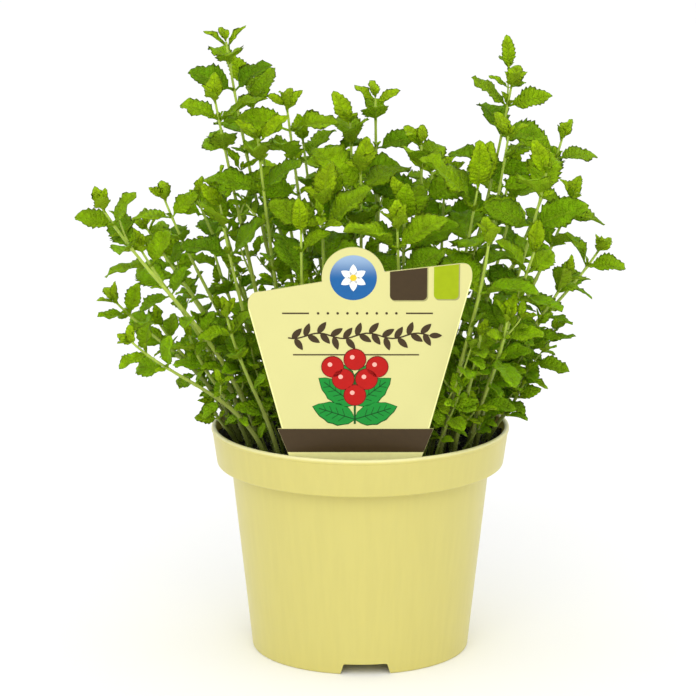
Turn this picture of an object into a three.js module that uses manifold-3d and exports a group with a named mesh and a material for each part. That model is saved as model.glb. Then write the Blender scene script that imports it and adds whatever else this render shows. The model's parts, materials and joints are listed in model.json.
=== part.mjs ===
// Potted mint plant: a moulded plastic pot filled with compost, a card label on a stake,
// and leafy square stems that stand in the compost.
//
// Millimetres, +Z up. The origin lies on the pot's axis, on the surface it stands on.
// The label faces -Y, the plant's front, and +X is on the right of the label.

import * as THREE from "three";
import { mergeVertices } from "three/addons/utils/BufferGeometryUtils.js";
import Module from "manifold-3d";

const wasm = await Module();
wasm.setup();

const GAP = 0.3; // clearance between pieces that touch

// Pot
const POT_HEIGHT = 92;
const RIM_RADIUS = 60;
const COLLAR_BOTTOM_Z = 76.5;
const COLLAR_BOTTOM_RADIUS = 57.7;
const FOOT_RADIUS = 43.8;
const WALL_TAPER = 0.109; // radius gained per millimetre of height
const WALL = 1.3;
const LIP = 2; // thickness and height of the rounded bead on the rim
const BASE_Z = 4.9; // underside of the raised base
const POT_SIDES = 32;
const NOTCHES = 3; // drainage notches in the foot ring
const NOTCH_BEARING = -87.4; // degrees, the one at the front
const NOTCH_WIDTH = 19.3;
const NOTCH_HEIGHT = 4.4;
const DRAINS = 6;
const DRAIN_RADIUS = 4;
const DRAIN_RING_RADIUS = 27;

// Compost
const SOIL_TOP_Z = 83;

// Label: a card with a round bump on its sloping top edge, and a stake below it. It leans
// out as the pot's wall does. Sizes on the card are x, and h up the card from rim level.
const LABEL_Y = -49.5; // at rim level
const LABEL_LEAN = Math.atan(WALL_TAPER);
const LABEL_THICKNESS = 0.7;
const CARD_BOTTOM = { left: -26.6, right: 22.6, h: -4 };
const BAND_TOP = { left: -32.2, right: 28.2, h: 10.5 };
const BAND_STEP = 1.6; // the dark band stands out past the card's sides
const LEFT_CORNER = { x: -43.2, h: 59.5, topX: -37.8, topH: 66.4 };
const RIGHT_CORNER = { x: 42.4, h: 71, topX: 37.6, topH: 77.6 };
const CORNER_REACH = 1; // how far a corner's rounding bulges
const BUMP = { x: -2.9, h: 72, radius: 12.1, start: 11, end: 188 }; // angles in degrees
const STAKE_WIDTH = 14;
const STAKE_TIP_H = -36;

// Leafy stems
const ROOT_DEPTH = 4; // of each stem's foot in the compost
const STEM_BASE_RADIUS = 1.35; // to the corners of the square section
const STEM_TIP_RADIUS = 0.6;
const BLADE_WIDTH = 0.58; // of the leaf's length
const BLADE_HALF_THICKNESS = 0.5;
const PETIOLE = 0.13; // of the leaf's length
const PETIOLE_HALF_WIDTH = 0.6;
const ROOT_OFFSET = 0.3; // from the stem's axis to the leaf's end
// Half a blade's outline up to each length of leaf: places along the blade, and the
// share of its smooth width there. Longer leaves have more teeth.
const BLADE_EDGES = [
  { upTo: 14, points: [[0.3, 1.06], [0.66, 1.1]] },
  { upTo: 18, points: [[0.26, 1.04], [0.54, 0.88], [0.72, 1.12]] },
  { upTo: 99, points: [[0.17, 1.02], [0.43, 1.08], [0.56, 0.86], [0.79, 1.14]] },
];
const CELL = 1.15; // grid that keeps leaves and stems apart
const SAMPLE = 0.9;

// Each stem: foot x, y; tip x, y, z; how upright it starts and ends (0 is straight to
// the tip); length of its full-grown leaves; pairs of leaves; turn of its second pair.
const STEMS = [
  // tall and left-hand stems
  [-21, 3, -53, 4, 246, 0.1, 0.25, 15, 4, 100],
  [-29, -7, -57, -14, 226, 0.1, 0.05, 17, 3, 15],
  [-14, 17, -45, 16, 227, 0.1, 0.1, 20, 3, 60],
  [-10, -6, -29, -3, 221, 0.05, 0.1, 19, 4, 10],
  [-25, -19, -40, -24, 212, 0.15, 0.2, 18, 4, 70],
  [-5, 10, -23, 12, 206, 0.1, 0.2, 16, 3, 30],
  [-38, -24, -98, -61, 191, 0.55, 0, 16, 3, 8],
  [-36, 12, -86, 16, 169, 0.45, 0, 12, 3, 75],
  [-35, 3, -78, 0, 184, 0.3, 0.1, 14, 3, 10],
  [-25, 25, -66, 24, 180, 0.3, 0.1, 11, 3, 20],
  [-34, -17, -55, -20, 185, 0.3, 0.3, 18, 3, 80],
  [-43, -20, -85, -40, 171, 0.6, -0.1, 14, 3, 10],
  [-47, -6, -97, -14, 145, 0.6, -0.1, 13, 3, 20],
  [-36, -36, -88, -56, 138, 0.65, 0, 12, 3, 50],
  [-50, 2, -81, 6, 132, 0.55, 0, 12, 3, 40],
  [-43, -24, -67, -34, 136, 0.6, 0.2, 12, 3, 70],
  [-30, -2, -59, 6, 163, 0.3, 0.3, 15, 4, 35],
  [-31, -38, -52, -44, 146, 0.4, 0.4, 14, 3, 20],
  [-48, -13, -59, -24, 105, 0.5, 0.3, 9, 2, 10],
  // middle stems
  [1, 3, -4, 2, 214, 0.05, 0.2, 18, 4, 80],
  [8, 15, 6, 14, 222, 0.05, 0.2, 16, 4, 88],
  [1, -15, 0, -18, 199, 0.1, 0.2, 22, 3, 5],
  [-12, -31, -15, -34, 188, 0.15, 0.3, 25, 3, 8],
  [16, -22, 17, -26, 188, 0.1, 0.2, 18, 3, 75],
  [25, -5, 24, -4, 206, 0.05, 0, 19, 4, 55],
  [30, 18, 34, 18, 190, 0.1, 0.1, 15, 3, 45],
  [-22, -36, -23, -44, 180, 0.2, 0.3, 20, 3, 30],
  [18, -36, 14, -44, 181, 0.2, 0.3, 19, 3, 20],
  // right-hand stems
  [29, 6, 60, 6, 229, 0.1, 0.15, 18, 4, 10],
  [36, -9, 58, -12, 211, 0.2, 0.15, 17, 3, 50],
  [38, 21, 82, 30, 204, 0.3, 0.2, 18, 3, 8],
  [42, -19, 72, -28, 199, 0.3, 0.25, 21, 4, 80],
  [28, -18, 46, -20, 193, 0.2, 0, 25, 3, 5],
  [37, 9, 63, 10, 190, 0.2, 0.2, 15, 3, 70],
  [45, 8, 85, 14, 182, 0.35, 0.1, 19, 3, 20],
  [45, 19, 98, 37, 156, 0.5, 0.05, 15, 3, 8],
  [45, -18, 67, -40, 170, 0.35, 0.2, 17, 3, 40],
  [30, -38, 49, -54, 177, 0.3, 0.4, 20, 3, 30],
  [42, -26, 56, -61, 148, 0.4, 0.4, 16, 3, 10],
  [49, -9, 65, -14, 112, 0.3, 0.3, 9, 3, 30],
  [36, -34, 46, -56, 141, 0.4, 0.3, 14, 3, 60],
  // stems at the back
  [-33, 28, -60, 50, 180, 0.3, 0.2, 15, 3, 30],
  [-15, 37, -32, 55, 183, 0.3, 0.2, 18, 3, 70],
  [0, 30, -6, 42, 190, 0.2, 0.2, 18, 3, 10],
  [6, 42, 8, 58, 178, 0.4, 0.1, 19, 3, 40],
  [20, 33, 30, 52, 186, 0.3, 0.2, 18, 3, 60],
  [32, 32, 62, 52, 184, 0.4, 0.2, 18, 3, 20],
  [43, 16, 84, 16, 150, 0.5, 0.1, 14, 3, 50],
  [-40, 24, -78, 40, 152, 0.5, 0.1, 13, 3, 15],
  [22, 44, 42, 58, 146, 0.5, 0.1, 16, 3, 15],
];

const PAIR_STEPS = [2, 9, 21, 35, 50, 66]; // down the stem from its tip
const PAIR_SIZES = [0.78, 1.18, 1.24, 1.14, 1, 0.9]; // of the full-grown leaf
const PAIR_SPLAYS = [34, 48, 56, 62, 66, 70]; // degrees from the stem
// Other ways to hold a leaf that would touch a neighbour: turn, lift (degrees) and size.
const SHIFTS = [
  [0, 0, 1], [16, 0, 1], [-16, 0, 1], [0, 14, 1], [0, -14, 1], [26, 12, 0.92],
  [-26, 12, 0.92], [30, -12, 0.85], [-30, -12, 0.85], [0, 24, 0.75], [45, 0, 0.7], [-45, 0, 0.7],
];

const pot = new THREE.MeshStandardMaterial({ color: "#e3d97f", roughness: 0.42 });
const compost = new THREE.MeshStandardMaterial({ color: "#1b1a14", roughness: 1 });
const card = new THREE.MeshStandardMaterial({ color: "#f1ec9a", roughness: 0.5 });
const foliage = new THREE.MeshStandardMaterial({ color: "#648c07", roughness: 0.6 });

const degrees = THREE.MathUtils.degToRad;

function solidOf(geometry) {
  const bare = geometry.clone();
  bare.deleteAttribute("normal");
  bare.deleteAttribute("uv");
  const merged = mergeVertices(bare, 1e-4);
  const vertProperties = new Float32Array(merged.attributes.position.array);
  const triVerts = new Uint32Array(merged.index.array);
  return new wasm.Manifold(new wasm.Mesh({ numProp: 3, vertProperties, triVerts }));
}

function geometryOf(solid) {
  const mesh = solid.getMesh();
  const geometry = new THREE.BufferGeometry();
  geometry.setAttribute("position", new THREE.BufferAttribute(mesh.vertProperties, 3));
  geometry.setIndex(new THREE.BufferAttribute(mesh.triVerts, 1));
  return geometry;
}

function piece(name, solid, material) {
  const mesh = new THREE.Mesh(geometryOf(solid), material);
  mesh.name = name;
  return mesh;
}

// ---- pot, compost and label ----

const wallRadius = (z) => FOOT_RADIUS + WALL_TAPER * z;

function turned(profile, sides) {
  const points = profile.map(([radius, z]) => new THREE.Vector2(radius, z));
  return new THREE.LatheGeometry(points, sides).rotateX(Math.PI / 2);
}

function potShell() {
  const shelf = COLLAR_BOTTOM_Z + WALL;
  const inner = (z) => wallRadius(z) - WALL;
  return solidOf(turned([
    [0, BASE_Z],
    [inner(BASE_Z) - 0.3, BASE_Z],
    [inner(0), 0],
    [FOOT_RADIUS - 0.6, 0],
    [FOOT_RADIUS, 0.8],
    [wallRadius(COLLAR_BOTTOM_Z), COLLAR_BOTTOM_Z + 0.4],
    [COLLAR_BOTTOM_RADIUS - 0.5, COLLAR_BOTTOM_Z],
    [COLLAR_BOTTOM_RADIUS, COLLAR_BOTTOM_Z + 0.5],
    [RIM_RADIUS - 0.3, POT_HEIGHT - LIP],
    [RIM_RADIUS, POT_HEIGHT - 0.5 * LIP],
    [RIM_RADIUS - 0.5 * LIP, POT_HEIGHT],
    [RIM_RADIUS - LIP, POT_HEIGHT - 0.3 * LIP],
    [COLLAR_BOTTOM_RADIUS - WALL, shelf],
    [inner(shelf), shelf - 0.2],
    [inner(BASE_Z + WALL + 1), BASE_Z + WALL + 1],
    [inner(BASE_Z) - 1, BASE_Z + WALL],
    [0, BASE_Z + WALL],
  ], POT_SIDES));
}

function notchCutter(bearing) {
  const half = NOTCH_WIDTH / 2;
  const outline = new THREE.Shape();
  outline.moveTo(-half - 1, -1);
  outline.lineTo(half + 1, -1);
  outline.lineTo(half, 1);
  outline.lineTo(half - 1, NOTCH_HEIGHT);
  outline.lineTo(1 - half, NOTCH_HEIGHT);
  outline.lineTo(-half, 1);
  const cutter = new THREE.ExtrudeGeometry(outline, { depth: 14, bevelEnabled: false });
  cutter.rotateX(Math.PI / 2).translate(0, -FOOT_RADIUS + 9, 0);
  return solidOf(cutter.rotateZ(degrees(bearing + 90)));
}

function drainCutter(x, y) {
  const cutter = new THREE.CylinderGeometry(DRAIN_RADIUS, DRAIN_RADIUS, 6, 10);
  return solidOf(cutter.rotateX(Math.PI / 2).translate(x, y, BASE_Z + WALL / 2));
}

function potSolid() {
  let solid = potShell();
  for (let i = 0; i < NOTCHES; i += 1) {
    solid = solid.subtract(notchCutter(NOTCH_BEARING + (360 / NOTCHES) * i));
  }
  for (let i = 0; i < DRAINS; i += 1) {
    const angle = degrees((360 / DRAINS) * i);
    const x = DRAIN_RING_RADIUS * Math.cos(angle);
    const y = DRAIN_RING_RADIUS * Math.sin(angle);
    solid = solid.subtract(drainCutter(x, y));
  }
  return solid.subtract(drainCutter(0, 0));
}

function cardOutline() {
  const shape = new THREE.Shape();
  shape.moveTo(CARD_BOTTOM.left, CARD_BOTTOM.h);
  shape.lineTo(CARD_BOTTOM.right, CARD_BOTTOM.h);
  shape.lineTo(BAND_TOP.right, BAND_TOP.h);
  shape.lineTo(BAND_TOP.right - BAND_STEP, BAND_TOP.h);
  shape.lineTo(RIGHT_CORNER.x, RIGHT_CORNER.h);
  shape.quadraticCurveTo(RIGHT_CORNER.x + CORNER_REACH, RIGHT_CORNER.topH + CORNER_REACH,
    RIGHT_CORNER.topX, RIGHT_CORNER.topH);
  shape.absarc(BUMP.x, BUMP.h, BUMP.radius, degrees(BUMP.start), degrees(BUMP.end), false);
  shape.lineTo(LEFT_CORNER.topX, LEFT_CORNER.topH);
  shape.quadraticCurveTo(LEFT_CORNER.x - CORNER_REACH, LEFT_CORNER.topH,
    LEFT_CORNER.x, LEFT_CORNER.h);
  shape.lineTo(BAND_TOP.left + BAND_STEP, BAND_TOP.h);
  shape.lineTo(BAND_TOP.left, BAND_TOP.h);
  return shape;
}

function stakeOutline(grow) {
  const half = STAKE_WIDTH / 2 + grow;
  const middle = (CARD_BOTTOM.left + CARD_BOTTOM.right) / 2;
  const top = CARD_BOTTOM.h + 1;
  const shape = new THREE.Shape();
  shape.moveTo(middle, STAKE_TIP_H - grow);
  shape.lineTo(middle + half, STAKE_TIP_H + half - grow);
  shape.lineTo(middle + half, top);
  shape.lineTo(middle - half, top);
  shape.lineTo(middle - half, STAKE_TIP_H + half - grow);
  return shape;
}

// A flat plate in the label's leaning plane.
function leaningPlate(shape, depth) {
  const plate = new THREE.ExtrudeGeometry(shape, { depth, bevelEnabled: false, curveSegments: 5 });
  plate.translate(0, 0, -depth / 2).rotateX(Math.PI / 2 + LABEL_LEAN);
  return solidOf(plate.translate(0, LABEL_Y, POT_HEIGHT));
}

function labelSolid() {
  const card = leaningPlate(cardOutline(), LABEL_THICKNESS);
  return card.add(leaningPlate(stakeOutline(0), LABEL_THICKNESS));
}

function soilSolid(stems) {
  const clear = WALL + GAP;
  const shelf = COLLAR_BOTTOM_Z + WALL + GAP;
  const floor = BASE_Z + WALL + GAP;
  const collar = COLLAR_BOTTOM_RADIUS - clear;
  let solid = solidOf(turned([
    [0, floor],
    [wallRadius(floor) - clear - 1.4, floor],
    [wallRadius(floor + 1) - clear, floor + 1.2],
    [wallRadius(shelf) - clear, shelf],
    [collar, shelf + 0.2],
    [collar + 0.4, SOIL_TOP_Z - 0.8],
    [collar - 1, SOIL_TOP_Z],
    [0, SOIL_TOP_Z],
  ], POT_SIDES));
  solid = solid.subtract(leaningPlate(stakeOutline(GAP), LABEL_THICKNESS + 2 * GAP));
  for (const stem of stems) {
    solid = solid.subtract(stemHole(stem));
  }
  return solid;
}

// ---- leafy stems ----

// Repeatable random numbers from 0 to 1.
function drawFrom(start) {
  let state = start;
  return () => {
    state = (state * 16807) % 2147483647;
    return state / 2147483647;
  };
}

function mixed(direction, upright) {
  const target = new THREE.Vector3(0, 0, 1);
  return direction.clone().lerp(target, upright).normalize();
}

// The stem's centre line: straight in the compost, then a curve to the tip. A sideways
// sway clears the stems that stand in its way.
function centreLine(row, sway) {
  const [footX, footY, tipX, tipY, tipZ, start, end] = row;
  const foot = new THREE.Vector3(footX, footY, SOIL_TOP_Z);
  const tip = new THREE.Vector3(tipX, tipY, tipZ);
  const reach = tip.clone().sub(foot);
  const length = reach.length();
  const straight = reach.clone().normalize();
  const rise = mixed(straight, start);
  const side = new THREE.Vector3(-straight.y, straight.x, 0).multiplyScalar(sway);
  const finish = mixed(straight, end);
  const root = foot.clone().addScaledVector(rise, -ROOT_DEPTH / rise.z);
  const low = foot.clone().addScaledVector(rise, length * 0.4);
  const high = tip.clone().addScaledVector(finish, -length * 0.35).add(side);
  return { root, foot, rise, curve: new THREE.CubicBezierCurve3(foot, low, high, tip), length };
}

// Where along the curve, from 0 to 1, a pair of leaves grows.
function pairPlace(row, rank, length) {
  const down = PAIR_STEPS[rank] * (0.6 + row[7] / 45);
  return Math.max(1 - down / length, 0.12);
}

// The tube turns only at these points: two below the leaves, and one at each pair.
function stationPoints(row, line) {
  const pairs = row[8];
  const lowest = pairPlace(row, pairs - 1, line.length);
  const places = [0, lowest / 3, (2 * lowest) / 3];
  for (let rank = pairs - 1; rank > 0; rank -= 1) {
    places.push(pairPlace(row, rank, line.length));
  }
  places.push(1);
  return [line.root, ...places.map((place) => line.curve.getPoint(place))];
}

// A tapered square bar, bent along the stations. Its leaves grow from its flat sides.
function stemTube(stations, turn) {
  const steps = stations.length - 1;
  const bar = new THREE.CylinderGeometry(1, 1, 1, 4, steps, false, degrees(turn + 45));
  const position = bar.attributes.position;
  for (let i = 0; i < position.count; i += 1) {
    const step = Math.round((0.5 + position.getY(i)) * steps);
    const before = stations[Math.max(step - 1, 0)];
    const after = stations[Math.min(step + 1, steps)];
    const along = after.clone().sub(before).normalize();
    const side = new THREE.Vector3(0, 1, 0).cross(along).normalize();
    const front = side.clone().cross(along);
    const radius = THREE.MathUtils.lerp(STEM_BASE_RADIUS, STEM_TIP_RADIUS, step / steps);
    const point = stations[step].clone();
    point.addScaledVector(side, position.getX(i) * radius);
    point.addScaledVector(front, position.getZ(i) * radius);
    position.setXYZ(i, point.x, point.y, point.z);
  }
  return solidOf(bar);
}

function stemHole(stem) {
  const { root, foot, rise } = stem.line;
  const radius = (STEM_BASE_RADIUS + GAP) / Math.cos(Math.PI / 5);
  const length = root.distanceTo(foot) + GAP + 4;
  const cutter = new THREE.CylinderGeometry(radius, radius, length, 5);
  cutter.applyQuaternion(new THREE.Quaternion().setFromUnitVectors(
    new THREE.Vector3(0, 1, 0), rise));
  const centre = root.clone().addScaledVector(rise, length / 2 - GAP);
  return solidOf(cutter.translate(centre.x, centre.y, centre.z));
}

// Half the blade's width at a fraction of its length beyond the stalk.
function halfWidth(leaf, s) {
  return 0.5 * leaf.width * Math.sin(Math.PI * s ** 0.82) ** 0.75;
}

// The leaf's axes at a fraction of its whole length: it bends down as it goes out.
function leafAxes(leaf, t) {
  const bend = leaf.droop * t;
  const forward = leaf.forward.clone().multiplyScalar(Math.cos(bend));
  forward.addScaledVector(leaf.up, -Math.sin(bend));
  const up = leaf.up.clone().multiplyScalar(Math.cos(bend));
  up.addScaledVector(leaf.forward, Math.sin(bend));
  const run = (leaf.length / leaf.droop) * Math.sin(bend);
  const drop = (leaf.length / leaf.droop) * (1 - Math.cos(bend));
  const centre = leaf.root.clone().addScaledVector(leaf.forward, run);
  centre.addScaledVector(leaf.up, -drop);
  return { centre, up, side: forward.clone().cross(up) };
}

// A point on the leaf's middle surface, which is folded up along its midrib.
function leafPoint(leaf, t, across) {
  const { centre, up, side } = leafAxes(leaf, t);
  centre.addScaledVector(side, across * Math.cos(leaf.fold));
  return centre.addScaledVector(up, Math.abs(across) * Math.sin(leaf.fold));
}

// Every leaf that the stem may carry, in opposite pairs from the tip down.
function leavesOf(row, index, line) {
  const [, , , , , , , fullLength, pairs, turn] = row;
  const draw = drawFrom(1009 + 97 * index);
  const leaves = [];
  for (let rank = 0; rank < pairs; rank += 1) {
    const at = pairPlace(row, rank, line.length);
    const base = line.curve.getPoint(at);
    const along = line.curve.getTangent(at);
    const side = new THREE.Vector3(0, 1, 0).cross(along).normalize();
    for (const half of [0, 180]) {
      const bearing = degrees(turn + 90 * (rank + 1) + half + 44 * (draw() - 0.5));
      const splay = PAIR_SPLAYS[rank] + 26 * (draw() - 0.5);
      const length = fullLength * PAIR_SIZES[rank] * (0.82 + 0.34 * draw());
      const droop = 0.15 + 0.75 * draw() * (rank > 0 ? 1 : 0.4);
      const fold = 0.12 + 0.38 * draw();
      const tilt = 0.9 * (draw() - 0.5);
      leaves.push({ base, along, side, bearing, splay, fullSize: length, droop, fold, tilt, rank });
    }
  }
  return leaves;
}

function posed(leaf, [turn, lift, size]) {
  const bearing = leaf.bearing + degrees(turn);
  const splay = degrees(leaf.splay - lift);
  const front = leaf.side.clone().cross(leaf.along);
  const out = leaf.side.clone().multiplyScalar(Math.cos(bearing));
  out.addScaledVector(front, -Math.sin(bearing));
  const forward = leaf.along.clone().multiplyScalar(Math.cos(splay));
  forward.addScaledVector(out, Math.sin(splay));
  const light = leaf.along.clone().multiplyScalar(0.7).add(new THREE.Vector3(0, -0.7, 0.7));
  const up = light.addScaledVector(forward, -light.dot(forward)).normalize();
  up.applyAxisAngle(forward, leaf.tilt);
  const length = leaf.fullSize * size;
  const root = leaf.base.clone().addScaledVector(forward, ROOT_OFFSET);
  return { ...leaf, root, forward, up, length, width: length * BLADE_WIDTH };
}

// Points spread closely over the blade, past the part that joins the stem.
function bladeSamples(leaf) {
  const samples = [];
  const rows = Math.ceil(leaf.length / SAMPLE);
  for (let i = 0; i <= rows; i += 1) {
    const t = i / rows;
    if (t * leaf.length >= 2.6) {
      const s = Math.max((t - PETIOLE) / (1 - PETIOLE), 0);
      const half = Math.max(halfWidth(leaf, s), PETIOLE_HALF_WIDTH);
      const columns = Math.ceil((2 * half) / SAMPLE);
      for (let j = 0; j <= columns; j += 1) {
        samples.push(leafPoint(leaf, t, half * ((2 * j) / columns - 1)));
      }
    }
  }
  return samples;
}

// Points round the stem's sides, along its straight lengths.
function stemSamples(stations) {
  const samples = [];
  for (let i = 1; i < stations.length; i += 1) {
    const [from, to] = [stations[i - 1], stations[i]];
    const along = to.clone().sub(from).normalize();
    const side = new THREE.Vector3(0, 1, 0).cross(along).normalize();
    const front = side.clone().cross(along);
    const steps = Math.ceil(from.distanceTo(to) / SAMPLE);
    for (let j = 0; j <= steps; j += 1) {
      const centre = from.clone().lerp(to, j / steps);
      for (const sign of [-1, 1]) {
        samples.push(centre.clone().addScaledVector(side, sign));
        samples.push(centre.clone().addScaledVector(front, sign));
      }
    }
  }
  return samples;
}

const cellKey = (x, y, z) => (x * 1000 + y) * 1000 + z;

function cellOf(point) {
  return [point.x, point.y, point.z].map((value) => Math.floor(value / CELL) + 400);
}

// Takes the cells at and next to each point for their owner.
function occupy(taken, samples, owner) {
  for (const point of samples) {
    const [x, y, z] = cellOf(point);
    for (let i = -1; i <= 1; i += 1) {
      for (let j = -1; j <= 1; j += 1) {
        for (let k = -1; k <= 1; k += 1) {
          const key = cellKey(x + i, y + j, z + k);
          if (!taken.has(key)) {
            taken.set(key, owner);
          }
        }
      }
    }
  }
}

function isTaken(taken, samples, owner) {
  return samples.some((point) => {
    const key = cellKey(...cellOf(point));
    return taken.has(key) && taken.get(key) !== owner;
  });
}

// The pot, the compost, the card and the space in front of the card stay free of leaves.
function meetsPot(point) {
  const radius = Math.hypot(point.x, point.y);
  return point.z < SOIL_TOP_Z + 1.5 || (point.z < POT_HEIGHT + 1.5 && radius > RIM_RADIUS - 4.5);
}

function meetsLabel(point) {
  const up = point.z - POT_HEIGHT;
  if (point.y > LABEL_Y - WALL_TAPER * up + 2 || up > BUMP.h + BUMP.radius + 2) {
    return false;
  }
  const rise = up / LEFT_CORNER.h;
  const left = THREE.MathUtils.lerp(CARD_BOTTOM.left, LEFT_CORNER.x, rise) - 4;
  const right = THREE.MathUtils.lerp(CARD_BOTTOM.right, RIGHT_CORNER.x, rise) + 4;
  return point.x > Math.max(left, -47) && point.x < Math.min(right, 46);
}

function growStems() {
  const stemCells = new Map();
  return STEMS.map((row, index) => {
    let line = null;
    let stations = null;
    for (const sway of [0, 5, -5, 10, -10, 16, -16]) {
      line = centreLine(row, sway);
      stations = stationPoints(row, line);
      if (!isTaken(stemCells, stemSamples(stations), index)) {
        break;
      }
    }
    occupy(stemCells, stemSamples(stations), index);
    const leaves = leavesOf(row, index, line);
    return { index, line, stations, turn: row[9], leaves, kept: [], stemCells };
  });
}

function keepClearLeaves(stems) {
  const leafCells = new Map();
  for (let rank = 0; rank < PAIR_STEPS.length; rank += 1) {
    for (const stem of stems) {
      for (const leaf of stem.leaves.filter((each) => each.rank === rank)) {
        for (const shift of SHIFTS) {
          const held = posed(leaf, shift);
          const samples = bladeSamples(held);
          const blocked = samples.some((point) => meetsPot(point) || meetsLabel(point))
            || isTaken(stem.stemCells, samples, stem.index) || isTaken(leafCells, samples, null);
          if (!blocked) {
            occupy(leafCells, samples, "leaf");
            stem.kept.push(held);
            break;
          }
        }
      }
    }
  }
}

// A closed toothed blade: both faces share its outline and rise to a thick midrib.
function bladeSolid(leaf) {
  const edge = BLADE_EDGES.find(({ upTo }) => leaf.length < upTo).points;
  const sideOf = (sign) => [[0, 0], ...edge].map(([s, factor]) => {
    const across = Math.max(halfWidth(leaf, s) * factor, PETIOLE_HALF_WIDTH);
    return leafPoint(leaf, PETIOLE + s * (1 - PETIOLE), sign * across);
  });
  const right = sideOf(1);
  const left = sideOf(-1).reverse();
  const loop = [...right, leafPoint(leaf, 1, 0), ...left];
  const ridge = (t, sign) => {
    const { centre, up } = leafAxes(leaf, t);
    return centre.addScaledVector(up, sign * BLADE_HALF_THICKNESS);
  };
  const points = [...loop, ridge(0, 1), ridge(0, -1), ridge(0.5, 1), ridge(0.5, -1)];
  const [rootTop, rootUnder, midTop, midUnder] = [0, 1, 2, 3].map((i) => loop.length + i);
  const faces = [[rootTop, rootUnder, 0], [rootUnder, rootTop, loop.length - 1]];
  for (let i = 0; i + 1 < loop.length; i += 1) {
    faces.push([i, i + 1, midTop], [i + 1, i, midUnder]);
  }
  faces.push([rootTop, 0, midTop], [0, rootUnder, midUnder]);
  faces.push([loop.length - 1, rootTop, midTop], [rootUnder, loop.length - 1, midUnder]);
  const geometry = new THREE.BufferGeometry().setFromPoints(points);
  geometry.setIndex(faces.flat());
  return solidOf(geometry);
}

function stemSolid(stem) {
  return stem.kept.reduce((solid, leaf) => solid.add(bladeSolid(leaf)), stemTube(stem.stations, stem.turn));
}

const stems = growStems();
keepClearLeaves(stems);

const group = new THREE.Group();
group.add(piece("pot", potSolid(), pot));
group.add(piece("soil", soilSolid(stems), compost));
group.add(piece("label", labelSolid(), card));
for (const stem of stems) {
  const name = `leafy_stem_${String(stem.index + 1).padStart(2, "0")}`;
  group.add(piece(name, stemSolid(stem), foliage));
}

export default group;
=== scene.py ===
"""Potted mint: leafy square stems in compost, a moulded pot and a printed label on a stake.

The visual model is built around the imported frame. Sizes are in millimetres in the rules
below, with +Z up, and each mesh is turned to metres once, when it is made.
"""

import json
import math
from collections import namedtuple

import bmesh
import bpy
import numpy as np
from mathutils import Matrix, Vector

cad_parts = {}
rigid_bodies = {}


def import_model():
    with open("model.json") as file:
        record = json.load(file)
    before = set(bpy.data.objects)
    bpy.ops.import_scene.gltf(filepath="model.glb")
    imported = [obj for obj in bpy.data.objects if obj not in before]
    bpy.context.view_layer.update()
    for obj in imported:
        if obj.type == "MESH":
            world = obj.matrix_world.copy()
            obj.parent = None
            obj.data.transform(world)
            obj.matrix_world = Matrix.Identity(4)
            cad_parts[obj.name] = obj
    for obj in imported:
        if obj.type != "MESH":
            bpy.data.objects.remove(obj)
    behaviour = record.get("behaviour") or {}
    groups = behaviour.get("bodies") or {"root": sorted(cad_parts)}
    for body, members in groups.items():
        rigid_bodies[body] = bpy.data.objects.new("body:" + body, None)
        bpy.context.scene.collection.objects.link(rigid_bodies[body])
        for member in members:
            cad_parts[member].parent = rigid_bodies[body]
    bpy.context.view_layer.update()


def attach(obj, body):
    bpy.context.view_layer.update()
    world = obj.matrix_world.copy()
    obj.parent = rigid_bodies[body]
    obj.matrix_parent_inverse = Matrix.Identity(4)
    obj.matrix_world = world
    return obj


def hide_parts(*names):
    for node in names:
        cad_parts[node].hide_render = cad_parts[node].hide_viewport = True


bl_info = {
    "name": "Potted Mint",
    "version": (1, 0, 0),
    "blender": (4, 5, 0),
    "location": "3D View > Sidebar > Potted Mint",
    "description": "Builds a mint plant with its pot, compost and label around a packed frame",
    "category": "Add Mesh",
}

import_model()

MM = 0.001

# ---- sizes that the solids share, in millimetres ----

# Pot
POT_HEIGHT = 92
RIM_RADIUS = 60
COLLAR_BOTTOM_Z = 76.5
COLLAR_BOTTOM_RADIUS = 57.7
FOOT_RADIUS = 43.8
WALL_TAPER = 0.109  # radius gained per millimetre of height
WALL = 1.3
LIP = 2  # thickness and height of the rounded bead on the rim
BASE_Z = 4.9  # underside of the raised base
NOTCHES = 3
NOTCH_BEARING = -87.4
NOTCH_WIDTH = 19.3
NOTCH_HEIGHT = 4.4
DRAINS = 6
DRAIN_RADIUS = 4
DRAIN_RING_RADIUS = 27

# Compost
SOIL_TOP_Z = 83
GAP = 0.3

# Label: x, and h up the card from rim level
LABEL_Y = -49.5
LABEL_LEAN = math.atan(WALL_TAPER)
LABEL_THICKNESS = 0.7
CARD_BOTTOM = {"left": -26.6, "right": 22.6, "h": -4}
BAND_TOP = {"left": -32.2, "right": 28.2, "h": 10.5}
BAND_STEP = 1.6
LEFT_CORNER = {"x": -43.2, "h": 59.5, "top_x": -37.8, "top_h": 66.4}
RIGHT_CORNER = {"x": 42.4, "h": 71, "top_x": 37.6, "top_h": 77.6}
CORNER_REACH = 1
BUMP = {"x": -2.9, "h": 72, "radius": 12.1, "start": 11, "end": 188}
STAKE_WIDTH = 14
STAKE_TIP_H = -36

# Leafy stems
ROOT_DEPTH = 4
STEM_BASE_RADIUS = 1.35  # to the corners of the square section
STEM_TIP_RADIUS = 0.6
BLADE_WIDTH = 0.58  # of the leaf's length
PETIOLE = 0.13  # of the leaf's length
PETIOLE_HALF_WIDTH = 0.6
ROOT_OFFSET = 0.3
CELL = 1.15  # grid that keeps leaves and stems apart
SAMPLE = 0.9

StemRow = namedtuple("StemRow", "x y tip_x tip_y tip_z rise finish leaf pairs turn")

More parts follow.
